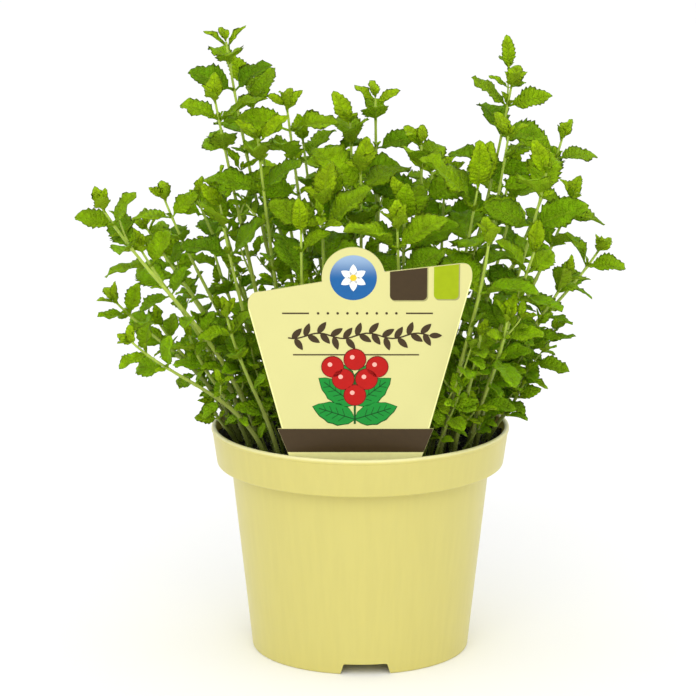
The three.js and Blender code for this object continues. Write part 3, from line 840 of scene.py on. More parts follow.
def pot_plastic(pot):
    """Polypropylene, injection moulded.

    It gives a soft satin gloss, a little light inside the thin wall, and faint upright flow
    lines. They are finer than this on the real pot, and drawn as coarse as the render shows.
    The top of the lip is paler, a painted highlight.
    """
    material, tree, place = new_material("moulded_polypropylene")
    across = 1 / pot.streak
    stretch = add(tree, "ShaderNodeMapping", {
        "Vector": place, "Scale": (across, across, across / FLOW_STRETCH)})
    lines = noise(tree, stretch, 1.0, 3.0)
    clouds = noise(tree, place, 22.0)
    pores = noise(tree, place, 1400.0, 1.0)
    tint = map_range(tree, lines, (0.35, 0.65), (0.98, 1.01))
    warm = map_range(tree, clouds, (0.3, 0.7), (0.0, 0.12))
    body = blend(tree, warm, pot.colour, toned(pot.colour, *WARM_PLASTIC))
    # painted highlight: the top of the lip is paler
    lip_highlight = map_range(tree, height_of(tree, place), ((POT_HEIGHT - LIP_HIGHLIGHT_HEIGHT) * MM, POT_HEIGHT * MM),
                    (0.0, 0.9), "SMOOTHSTEP")
    paler = blend(tree, lip_highlight, body, toned(pot.colour, *LIP_HIGHLIGHT_TINT))
    height = maths(tree, "MULTIPLY_ADD", pores, 0.25, lines)
    rough = map_range(tree, clouds, (0, 1), (pot.roughness - 0.05, pot.roughness + 0.07))
    return surfaced(material, principled(
        tree, scaled(tree, paler, tint), rough, IOR=1.49, Normal=bumps(tree, height, 0.05, 0.0006),
        Subsurface_Weight=0.12, Subsurface_Scale=0.004, Subsurface_Radius=(1.0, 0.85, 0.35)))


class MINT_OT_pot(bpy.types.Operator):
    """Build the moulded pot"""

    bl_idname = "mint.pot"
    bl_label = "Pot"

    def execute(self, context):
        piece = new_piece("moulded_pot", *turned(pot_profile(), POT_SIDES))
        outward(piece)
        cutters = [notch_cutter(NOTCH_BEARING + 360 / NOTCHES * i) for i in range(NOTCHES)]
        cutters.append(drain_cutter(0, 0))
        for i in range(DRAINS):
            angle = 2 * math.pi * i / DRAINS
            cutters.append(drain_cutter(
                DRAIN_RING_RADIUS * math.cos(angle), DRAIN_RING_RADIUS * math.sin(angle)))
        cut_from(piece, cutters, context)
        piece.data.shade_smooth()
        piece.data.set_sharp_from_angle(angle=math.radians(SHARP_ANGLE))
        piece.data.materials.clear()
        piece.data.materials.append(pot_plastic(context.scene.mint_pot))
        hand_over(piece, "pot_plastic", "pot")
        return {"FINISHED"}


# ---- compost ----


def damp_peat(compost):
    """Peat compost, damp and loose: near black, with browner fibre where it has dried."""
    material, tree, place = new_material("damp_peat")
    grains = noise(tree, place, 900.0, 5.0, Roughness=0.7)
    patches = noise(tree, place, 120.0, 3.0)
    tone = maths(tree, "MULTIPLY_ADD", patches, 0.5, carried(tree, "crumb_tone"))
    ramp = add(tree, "ShaderNodeValToRGB", {"Fac": tone})
    stops = ramp.color_ramp.elements
    stops[0].position, stops[0].color = 0.25, (*toned(compost.colour, 0.55), 1)
    stops[1].position, stops[1].color = 1.25, (*to_linear("#8a7c66"), 1)
    middle = stops.new(0.75)
    middle.color = (*toned(compost.colour, 1.9), 1)
    return surfaced(material, principled(
        tree, ramp, 0.9, IOR=1.4, Normal=bumps(tree, grains, 0.9, 0.0006)))


def heave(x, y):
    """How far the compost's top lifts or sinks at a point, as a share of the lump height."""
    broad = math.sin(x * 0.21 + 1.3) * math.cos(y * 0.17 - 0.4)
    fine = math.sin(x * 0.83 + y * 0.31) * math.sin(y * 0.77 - x * 0.23 + 2)
    grain = math.sin(x * 2.1 + 0.7 * y) * math.cos(y * 2.4 - 0.9 * x)
    return 0.45 * broad + 0.4 * fine + 0.25 * grain


def compost_surface(compost):
    """The compost as one heaped body in the pot, its top lifted and lowered in lumps."""
    shelf = COLLAR_BOTTOM_Z + WALL + GAP
    floor = BASE_Z + WALL + GAP
    collar = COLLAR_BOTTOM_RADIUS - WALL - GAP
    edge = collar + 0.9
    profile = [
        (0, floor),
        (wall_radius(floor) - WALL - GAP - 1.4, floor),
        (wall_radius(floor + 1) - WALL - GAP, floor + 1.2),
        (wall_radius(shelf) - WALL - GAP, shelf),
        (collar, shelf + 0.2),
        (collar + 0.4, SOIL_TOP_Z - 1.6),
        *[(edge * (1 - k / SOIL_ROWS), SOIL_TOP_Z) for k in range(SOIL_ROWS)],
        (0, SOIL_TOP_Z),
    ]
    points, faces = turned(profile, SOIL_SIDES)
    lumps = compost.lumps / MM
    heaved = []
    for x, y, z in points:
        if z > SOIL_TOP_Z - 0.1:
            z += lumps * heave(x, y) - SUNK * lumps
            z += compost.bank / MM * min(math.hypot(x, y) / edge, 1) ** BANK_CURVE
        heaved.append((x, y, z))
    return new_piece("compost", heaved, faces)


def crumb_form(name, seed, squash):
    """A small angular lump of unit size."""
    work = bmesh.new()
    bmesh.ops.create_icosphere(work, subdivisions=1, radius=0.5)
    draw = draw_from(seed)
    for vert in work.verts:
        vert.co *= among(draw, CRUMB_RADIUS)
        vert.co.z *= squash
    mesh = bpy.data.meshes.new(name)
    work.to_mesh(mesh)
    work.free()
    return bpy.data.objects.new(name, mesh)


def compost_tree(material, forms):
    """Scatters crumbs on the upward faces of the compost."""
    tree, entry = new_tree("Compost crumbs", ["Crumb size", "Density"])
    body = entry["Geometry"]
    facing = add(tree, "GeometryNodeInputNormal")
    upward = add(tree, "FunctionNodeCompare", {
        0: height_of(tree, facing), 1: 0.4}, operation="GREATER_THAN")
    spread = add(tree, "GeometryNodeDistributePointsOnFaces", {
        "Mesh": body, "Selection": upward, "Density": entry["Density"], "Seed": entry["Seed"]})
    size = random_value(tree, 0.25, 1.0, SIZE_SEED)
    grown = maths(tree, "MULTIPLY_ADD", maths(tree, "POWER", size, 2.2), 1.5, 0.3)
    turn = random_value(tree, (0, 0, 0), (FULL_TURN,) * 3, TURN_SEED, "FLOAT_VECTOR")
    form = random_value(tree, 0, len(CRUMB_SQUASHES) - 1, FORM_SEED, "INT")
    tone = random_value(tree, 0.0, 0.62, TONE_SEED)
    points = add(tree, "GeometryNodeStoreNamedAttribute", {
        "Geometry": spread, "Name": "crumb_tone", "Value": tone},
        data_type="FLOAT", domain="POINT")
    crumbs = copies(
        tree, points, forms, form,
        Rotation=add(tree, "FunctionNodeEulerToRotation", {0: turn}),
        Scale=maths(tree, "MULTIPLY", grown, entry["Crumb size"]))
    whole = joined(tree, (body, crumbs.outputs[0]))
    add(tree, "NodeGroupOutput", {0: with_material(tree, whole, material)})
    return tree


class MINT_OT_compost(bpy.types.Operator):
    """Build the crumbly compost"""

    bl_idname = "mint.compost"
    bl_label = "Compost"

    def execute(self, context):
        compost = context.scene.mint_compost
        piece = compost_surface(compost)
        outward(piece)
        forms = bpy.data.collections.new("crumb_forms")
        for i, squash in enumerate(CRUMB_SQUASHES):
            forms.objects.link(crumb_form(f"crumb_{i}", CRUMB_SEED + i, squash))
        run_tree(piece, compost_tree(damp_peat(compost), forms), {
            "Crumb size": compost.crumb, "Density": compost.density, "Seed": 3}, context)
        remove_all(forms)
        hand_over(piece, "compost", "soil")
        return {"FINISHED"}


# ---- label ----


def on_card(x, h, out):
    """A point on the leaning label: x, h up the card, and out towards its front."""
    cos, sin = math.cos(LABEL_LEAN), math.sin(LABEL_LEAN)
    return (x, LABEL_Y - h * sin - out * cos, POT_HEIGHT + h * cos - out * sin)


def arc(x, h, radius, start, end, steps=20):
    """Points of an arc on the card, its angles in degrees."""
    angles = [math.radians(start + (end - start) * k / steps) for k in range(steps + 1)]
    return [(x + radius * math.cos(a), h + radius * math.sin(a)) for a in angles]


def bend(start, control, end, steps=8):
    """Points of a quadratic curve on the card."""
    points = []
    for k in range(steps + 1):
        t = k / steps
        points.append(tuple(
            (1 - t) ** 2 * a + 2 * t * (1 - t) * b + t * t * c
            for a, b, c in zip(start, control, end)))
    return points


def card_outline():
    """The card and its stake as one outline, anticlockwise seen from the front."""
    middle = (CARD_BOTTOM["left"] + CARD_BOTTOM["right"]) / 2
    half = STAKE_WIDTH / 2
    shoulder = CARD_BOTTOM["h"]
    right, left = RIGHT_CORNER, LEFT_CORNER
    return [
        *arc(middle, STAKE_TIP_H + half, half, 200, 340, 12),
        (middle + half, shoulder),
        (CARD_BOTTOM["right"], shoulder),
        (BAND_TOP["right"], BAND_TOP["h"]),
        (BAND_TOP["right"] - BAND_STEP, BAND_TOP["h"] + 0.05),
        *bend((right["x"], right["h"]), (right["x"] + CORNER_REACH, right["top_h"] + CORNER_REACH),
              (right["top_x"], right["top_h"])),
        *arc(BUMP["x"], BUMP["h"], BUMP["radius"], BUMP["start"], BUMP["end"], 36),
        *bend((left["top_x"], left["top_h"]), (left["x"] - CORNER_REACH, left["top_h"]),
              (left["x"], left["h"])),
        (BAND_TOP["left"] + BAND_STEP, BAND_TOP["h"] + 0.05),
        (BAND_TOP["left"], BAND_TOP["h"]),
        (CARD_BOTTOM["left"], shoulder),
        (middle - half, shoulder),
    ]


def plates(name, outlines, front, thickness):
    """A piece of flat plates in the label's plane, their front faces at one level."""
    points, faces = gathered(bar(outline, thickness) for outline in outlines)
    placed = [on_card(x, h, front - thickness + z) for x, h, z in points]
    return new_piece(name, placed, faces, smooth=False)


def strip(start, end, width):
    """A straight bar on the card."""
    run = np.subtract(end, start)
    aside = unit(run)[::-1] * (-1, 1) * width / 2
    return [tuple(p) for p in (start - aside, end - aside, end + aside, start + aside)]


def leaflet(x, h, angle, length, width, notch=0.0):
    """A pointed leaf outline on the card, growing from x, h at an angle in degrees."""
    cos, sin = math.cos(math.radians(angle)), math.sin(math.radians(angle))
    points = []
    steps = 9
    for side in (-1, 1):
        for k in range(steps):
            t = k / steps if side < 0 else 1 - k / steps
            half = width / 2 * math.sin(math.pi * t ** 0.85) ** 0.8
            half *= 1 - notch * (k % 2)
            points.append((x + length * t * cos - side * half * sin,
                           h + length * t * sin + side * half * cos))
    return points


def round_bottom_tab(left, right, bottom, radius=1.8):
    """A tab that hangs from the card's sloping top edge."""
    start = math.radians(BUMP["start"])
    edge_x = BUMP["x"] + BUMP["radius"] * math.cos(start)
    edge_h = BUMP["h"] + BUMP["radius"] * math.sin(start)
    slope = (RIGHT_CORNER["top_h"] - edge_h) / (RIGHT_CORNER["top_x"] - edge_x)
    top_left, top_right = (edge_h + slope * (x - edge_x) - 0.15 for x in (left, right))
    return [
        *arc(left + radius, bottom + radius, radius, 180, 270, 6),
        *arc(right - radius, bottom + radius, radius, 270, 360, 6),
        (right, top_right),
        (left, top_left),
    ]


def stripe(low, high):
    """A stripe across the flared foot of the card."""
    sides = []
    for h in (low, high):
        share = (h - CARD_BOTTOM["h"]) / (BAND_TOP["h"] - CARD_BOTTOM["h"])
        sides.append([CARD_BOTTOM[side] + share * (BAND_TOP[side] - CARD_BOTTOM[side])
                      for side in ("left", "right")])
    (low_left, low_right), (left, right) = sides
    return [(low_left + STRIPE_INSET, low), (low_right - STRIPE_INSET, low),
            (right - STRIPE_INSET, high), (left + STRIPE_INSET, high)]


def edge_highlights():
    """Pale strips down both sides of the card: a painted highlight on its cut edge."""
    inset, foot_h = CUT_INSET, BAND_TOP["h"] + CUT_INSET
    ends = ((BAND_TOP["left"] + BAND_STEP + inset, LEFT_CORNER["x"] + inset, LEFT_CORNER["h"]),
            (BAND_TOP["right"] - BAND_STEP - inset, RIGHT_CORNER["x"] - inset, RIGHT_CORNER["h"]))
    return [strip((foot_x, foot_h), (top_x, top_h), CUT_WIDTH) for foot_x, top_x, top_h in ends]


def wave(x):
    """Height up the card of the garland's wavy twig."""
    return GARLAND["h"] + GARLAND["rise"] * math.sin((x + 2) * 2 * math.pi / GARLAND["wave"])


def garland():
    """A wavy twig with leaflets in pairs, across the card."""
    length, width, open_by, beside = (GARLAND[key] for key in ("leaf", "width", "open", "beside"))
    run = TWIG_STEP + TWIG_OVERLAP
    xs = [GARLAND["left"] + TWIG_STEP * k for k in range(TWIG_STEPS)]
    outlines = [strip((a, wave(a)), (a + run, wave(a + run)), RULE_WIDTH) for a in xs]
    for k in range(GARLAND["pairs"]):
        x = GARLAND["first"] + GARLAND["gap"] * k
        lean = math.degrees(math.atan2(wave(x + 0.5) - wave(x - 0.5), 1))
        outlines.append(leaflet(x, wave(x), lean + open_by, length, width))
        outlines.append(leaflet(x + beside, wave(x + beside), lean - open_by, length, width))
    end = GARLAND["end"]
    outlines.append(leaflet(end, wave(end), 0, length - 0.6, width - 0.2))
    return outlines


def sprig_leaves(grow):
    """The printed leaves in opposite pairs, made wider by grow."""
    outlines = []
    for h, angle, length, width in SPRIG_LEAVES:
        for side in (-1, 1):
            outlines.append(leaflet(
                SPRIG_X - side * grow / 2, h - grow / 2, 90 - side * angle, length + grow * 1.6,
                width + grow * 2, 0.09))
    return outlines


def sprig_ribs():
    """Twig, midribs and side veins of the printed leaves."""
    outlines = [strip((SPRIG_X, SPRIG_BOTTOM), (SPRIG_X, SPRIG_TOP), TWIG_WIDTH)]
    for h, angle, length, width in SPRIG_LEAVES:
        for side in (-1, 1):
            lean = math.radians(90 - side * angle)
            along = np.array([math.cos(lean), math.sin(lean)])
            aside = np.array([-along[1], along[0]])
            root = np.array([SPRIG_X, h])
            outlines.append(strip(root, root + along * length * 0.86, RIB_WIDTH))
            for k in range(RIB_PAIRS):
                start = root + along * length * (0.24 + 0.15 * k)
                for way in (-1, 1):
                    reach = along * 0.11 * length + way * aside * width * (0.3 - 0.03 * k)
                    outlines.append(strip(start, start + reach, SIDE_RIB_WIDTH))
    return outlines


def discs(centres, radius, steps=26):
    """Round spots on the card."""
    return [arc(x, h, radius, 0, 360 - 360 / steps, steps - 1) for x, h in centres]


def coated_card(label):
    """Polypropylene-coated card, calendered: even and slightly glossy, with a little cloud in it."""
    material, tree, place = new_material("coated_card")
    clouds = noise(tree, place, 60.0, 4.0)
    fibres = noise(tree, place, 1100.0)
    colour = blend(
        tree, clouds, toned(label.card, 0.965), toned(label.card, 1.03))
    return surfaced(material, principled(
        tree, colour, 0.42, IOR=1.49, Normal=bumps(tree, fibres, 0.05, 0.0003)))


def offset_ink(name, colour, lift=0.0):
    """Offset printing ink, rolled on in a thin layer: flat and even, with the press's slight mottle.

    Lift makes it paler towards the top of the label's bump, as a shaded print is.
    """
    material, tree, place = new_material(f"offset_ink_{name}")
    mottle = noise(tree, place, 420.0, 3.0)
    inked = blend(tree, mottle, toned(colour, 0.9), toned(colour, 1.1))
    if lift:
        middle = on_card(BUMP["x"], BUMP["h"], 0)[2] * MM
        height = map_range(tree, height_of(tree, place), [middle + h for h in DISC_SHADE],
                           (0.0, lift), "SMOOTHSTEP")
        inked = blend(tree, height, inked, to_linear("#c4dcf0"))
    return surfaced(material, principled(tree, inked, 0.4, IOR=1.5, Specular_IOR_Level=0.2))


def print_layers(label):
    """Name, outlines, colour, layer and paler top of each flat layer of ink."""
    disc = (BUMP["x"], BUMP["h"])
    berries = [(SPRIG_X + x, h) for x, h in SPRIG_BERRIES]
    shines = [(x - SHINE_OFFSET, h + SHINE_OFFSET) for x, h in berries]
    petals = [leaflet(*disc, 90 + 360 / PETALS * k, PETAL_LENGTH, PETAL_WIDTH)
              for k in range(PETALS)]
    rules = [strip((left, h), (right, h), width) for left, right, h, width in RULES]
    dots = discs([(DOTS_LEFT + DOT_GAP * k, RULE_H) for k in range(DOTS)], DOT_RADIUS, 12)
    return [
        ("shadow", [round_bottom_tab(*tab) for tab in TAB_SHADOWS], toned(label.card, 0.55), 1, 0),
        # painted light: pale ink on the card's foot lifts the shade behind the rim, and the edge
        # strips are painted highlights
        ("margin", [stripe(CARD_BOTTOM["h"] + 0.1, BAND_LOW), *edge_highlights()],
         to_linear("#fff8a8"), 1, 0),
        ("brown", [stripe(BAND_LOW, BAND_TOP["h"]), round_bottom_tab(*BROWN_TAB), *garland(),
                   *rules, *dots], label.brown, 2, 0),
        ("lime", [round_bottom_tab(*LIME_TAB)], label.lime, 2, 0),
        ("blue", discs([disc], DISC_RADIUS, 48), label.blue, 1, DISC_LIFT),
        ("white", petals, to_linear("#f4f6f0"), 2, 0),
        ("gold", discs([disc], EYE_RADIUS, 16), to_linear("#f0c832"), 3, 0),
        ("deep_green", sprig_leaves(GREEN_EDGE), toned(label.green, 0.3), 1, 0),
        ("green", sprig_leaves(0), label.green, 2, 0),
        ("rib_green", sprig_ribs(), toned(label.green, 0.36), 3, 0),
        ("deep_red", discs(berries, BERRY_RADIUS + RED_EDGE), toned(label.red, 0.35), 4, 0),
        ("red", discs(berries, BERRY_RADIUS), label.red, 5, 0),
        ("pink", discs(shines, SHINE_RADIUS, 14), to_linear("#f3b3a4"), 6, 0),
    ]


class MINT_OT_label(bpy.types.Operator):
    """Build the label: card, stake and printed layers"""

    bl_idname = "mint.label"
    bl_label = "Label"

    def execute(self, context):
        label = context.scene.mint_label
        face = LABEL_THICKNESS / 2
        card = plates("label_card", [card_outline()], face, LABEL_THICKNESS)
        card.data.materials.append(coated_card(label))
        hand_over(card, "label_card", "label")
        for name, outlines, colour, layer, lift in print_layers(label):
            ink = label.ink / MM * layer
            printed = plates(f"label_print_{name}", outlines, face + ink, ink)
            printed.data.materials.append(offset_ink(name, colour, lift))
            hand_over(printed, "label_card")
        return {"FINISHED"}


# ---- how the plant grows, by the rule that the solids follow ----


def draw_from(state):
    """Repeatable random numbers from 0 to 1."""

    def draw():
        nonlocal state
        state = (state * 16807) % 2147483647
        return state / 2147483647

    return draw


def mixed(direction, upright):
    """A direction turned towards straight up."""
    return unit(direction + (UP - direction) * upright)


def curve_point(line, t):
    """A point on the stem's cubic centre line."""
    k = 1 - t
    foot, low, high, tip = line["curve"]
    return k * k * k * foot + 3 * k * k * t * low + 3 * k * t * t * high + t * t * t * tip


def curve_along(line, t):
    """The direction of the centre line."""
    step = 0.0001
    return unit(curve_point(line, min(t + step, 1)) - curve_point(line, max(t - step, 0)))


def among(draw, bounds):
    """A random number from the least of the bounds upwards, by up to their spread."""
    least, spread = bounds
    return least + spread * draw()


def about(draw, spread):
    """A random number about zero."""
    return spread * (draw() - 0.5)


def centre_line(row, sway):
    """The stem's centre line: straight in the compost, then a curve to the tip."""
    foot = np.array([row.x, row.y, SOIL_TOP_Z], float)
    tip = np.array([row.tip_x, row.tip_y, row.tip_z], float)
    reach = tip - foot
    length = math.sqrt(reach @ reach)
    straight = reach / length
    rise = mixed(straight, row.rise)
    side = np.array([-straight[1], straight[0], 0]) * sway
    finish = mixed(straight, row.finish)
    root = foot + rise * (-ROOT_DEPTH / rise[2])
    low = foot + rise * (length * CURVE_START)
    high = tip + finish * (-length * CURVE_END) + side
    return {"root": root, "curve": (foot, low, high, tip), "length": length}


def share_down(row, down, line):
    """Where along the curve, 1 at its tip, a step down lies. Long leaves make longer steps."""
    return 1 - down * (STEP_LEAST + row.leaf / STEP_LEAF) / line["length"]


def pair_place(row, down, line):
    """Where along the curve a pair of leaves grows, clear of the compost."""
    return max(share_down(row, down, line), LOWEST_PAIR)


def station_points(row, line):
    """The points where the solid's stem turns."""
    places = [pair_place(row, down, line) for down in PAIR_STEPS[:row.pairs]]
    lowest = places[-1]
    stations = [0, lowest / 3, 2 * lowest / 3, *reversed(places[1:]), 1]
    return [line["root"], *(curve_point(line, place) for place in stations)]


def across_axes(along):
    """Two directions at right angles to a stem."""
    side = unit(np.cross(AWAY, along))
    return side, np.cross(side, along)


def leaves_of(row, line, steps, sizes, draw):
    """Every leaf that the stem may carry, in opposite pairs from the tip down."""
    leaves = []
    least_droop, more_droop = DROOP
    for rank, down in steps:
        at = pair_place(row, down, line)
        base, along = curve_point(line, at), curve_along(line, at)
        side, front = across_axes(along)
        for half in (0, 180):
            turn = row.turn + 90 * (rank + 1) + half
            leaves.append({
                "base": base, "along": along, "side": side, "front": front,
                "bearing": math.radians(turn + about(draw, TURN_SPREAD)),
                "splay": PAIR_SPLAYS[min(rank, len(PAIR_SPLAYS) - 1)] + about(draw, SPLAY_SPREAD),
                "full": row.leaf * sizes[rank] * among(draw, SIZE),
                "droop": least_droop + more_droop * draw() * (1 if rank > 0 else TIP_DROOP),
                "fold": among(draw, FOLD), "tilt": about(draw, TILT_SPREAD),
                "rank": rank, "age": min(rank / 3, 1)})
    return leaves


def turned_about(vector, axis, angle):
    """A vector turned about an axis."""
    cos, sin = math.cos(angle), math.sin(angle)
    return vector * cos + np.cross(axis, vector) * sin + axis * (axis @ vector) * (1 - cos)


def posed(leaf, shift):
    """The leaf held one way: its own bearing and splay, turned, lifted and resized."""
    turn, lift, size = shift
    bearing = leaf["bearing"] + math.radians(turn)
    splay = math.radians(leaf["splay"] - lift)
    out = leaf["side"] * math.cos(bearing) - leaf["front"] * math.sin(bearing)
    forward = leaf["along"] * math.cos(splay) + out * math.sin(splay)
    light = leaf["along"] * LIGHT_PULL + LIGHT
    up = unit(light - forward * (light @ forward))
    up = turned_about(up, forward, leaf["tilt"])
    length = leaf["full"] * size
    return {**leaf, "root": leaf["base"] + forward * ROOT_OFFSET, "forward": forward, "up": up,
            "length": length, "width": length * BLADE_WIDTH}


def outline_share(s):
    """The blade's width at a fraction of its length, as a share of its full width."""
    return math.sin(math.pi * min(s, 1) ** BLADE_PEAK) ** BLADE_FULLNESS


def blade_samples(leaf):
    """Points spread closely over the blade, past the part that joins the stem."""
    rows = math.ceil(leaf["length"] / SAMPLE)
    along, across = [], []
    for i in range(rows + 1):
        t = i / rows
        if t * leaf["length"] < JOINED_LENGTH:
            continue
        s = max((t - PETIOLE) / (1 - PETIOLE), 0)
        half = max(0.5 * leaf["width"] * outline_share(s), PETIOLE_HALF_WIDTH)
        columns = math.ceil(2 * half / SAMPLE)
        along += [t] * (columns + 1)
        across += [half * (2 * j / columns - 1) for j in range(columns + 1)]
    t, across = np.array(along)[:, None], np.array(across)[:, None]
    turn = leaf["droop"] * t
    forward = leaf["forward"] * np.cos(turn) - leaf["up"] * np.sin(turn)
    up = leaf["up"] * np.cos(turn) + leaf["forward"] * np.sin(turn)
    radius = leaf["length"] / leaf["droop"]
    centre = leaf["root"] + leaf["forward"] * (radius * np.sin(turn))
    centre = centre - leaf["up"] * (radius * (1 - np.cos(turn)))
    side = np.cross(forward, up)
    return (centre + side * across * math.cos(leaf["fold"])
            + up * np.abs(across) * math.sin(leaf["fold"]))


def stalk_samples(stations):
    """Points round a stem's sides, along its straight lengths."""
    samples = []
    for before, after in zip(stations, stations[1:]):
        along = unit(after - before)
        side, front = across_axes(along)
        gap = after - before
        steps = math.ceil(math.sqrt(gap @ gap) / SAMPLE)
        for j in range(steps + 1):
            centre = before + gap * (j / steps)
            samples += [centre - side, centre - front, centre + side, centre + front]
    return np.array(samples)


def small_leaf(base, along, bearing, splay, length, draw, age):
    """One small leaf, as it may grow at a tip or in an axil."""
    side, front = across_axes(along)
    return {"base": base, "along": along, "side": side, "front": front, "bearing": bearing,
            "splay": splay, "full": length, "droop": among(draw, SMALL_DROOP),
            "fold": among(draw, SMALL_FOLD), "tilt": about(draw, TILT_SPREAD), "rank": 0,
            "age": age}


class Cells:
    """A grid that notes whose each small cell is."""

    LOW = np.array([-115, -80, 60])  # the first cell, counted from the origin
    SHAPE = (230, 160, 180)  # cells in x, y and z

    def __init__(self, reach):
        self.owner = np.zeros(self.SHAPE, np.int16)
        self.steps = [np.array(step) - reach for step in np.ndindex(*[2 * reach + 1] * 3)]

    def cells(self, samples):
        """The cell of each point, kept inside the grid."""
        cells = np.floor(samples / CELL).astype(int) - self.LOW
        return np.clip(cells, 1, np.array(self.SHAPE) - 2)

    def occupy(self, samples, owner):
        """Takes the free cells within reach of each point."""
        cells = self.cells(samples)
        for step in self.steps:
            x, y, z = (cells + step).T
            free = self.owner[x, y, z] == 0
            self.owner[x[free], y[free], z[free]] = owner

    def taken(self, samples, owner=0):
        """Whether any point lies in another's cell."""
        x, y, z = self.cells(samples).T
        found = self.owner[x, y, z]
        return bool(np.any((found != 0) & (found != owner)))


def meets_pot(points):
    """Whether any point meets the pot or the compost."""
    radius = np.hypot(points[:, 0], points[:, 1])
    low = points[:, 2] < SOIL_TOP_Z + POT_CLEARANCE
    rim = (points[:, 2] < POT_HEIGHT + POT_CLEARANCE) & (radius > RIM_RADIUS - RIM_MARGIN)
    return bool(np.any(low | rim))


def hides_compost(points):
    """Whether any point lies low at the front, where the compost shows over the rim."""
    radius = np.hypot(points[:, 0], points[:, 1])
    low = points[:, 2] < SOIL_TOP_Z + BARE_HEIGHT
    return bool(np.any(low & (points[:, 1] < BARE_BACK) & (radius > BARE_RADIUS)))


def strays(points):
    """Whether any point lies outside the plant's reach."""
    return bool(np.any(np.abs(points[:, :2]) > EXTRA_REACH))


def meets_label(points, margin=LABEL_MARGIN):
    """Whether any point meets the card, its margin, or the space in front of them."""
    x, y, up = points[:, 0], points[:, 1], points[:, 2] - POT_HEIGHT
    share = up / LEFT_CORNER["h"]
    left = CARD_BOTTOM["left"] + (LEFT_CORNER["x"] - CARD_BOTTOM["left"]) * share - margin
    right = CARD_BOTTOM["right"] + (RIGHT_CORNER["x"] - CARD_BOTTOM["right"]) * share + margin
    left, right = np.maximum(left, CARD_LEFT - margin), np.minimum(right, CARD_RIGHT + margin)
    near = y <= LABEL_Y - WALL_TAPER * up + LABEL_CLEARANCE
    below = up <= BUMP["h"] + BUMP["radius"] + LABEL_CLEARANCE
    return bool(np.any(near & below & (x > left) & (x < right)))


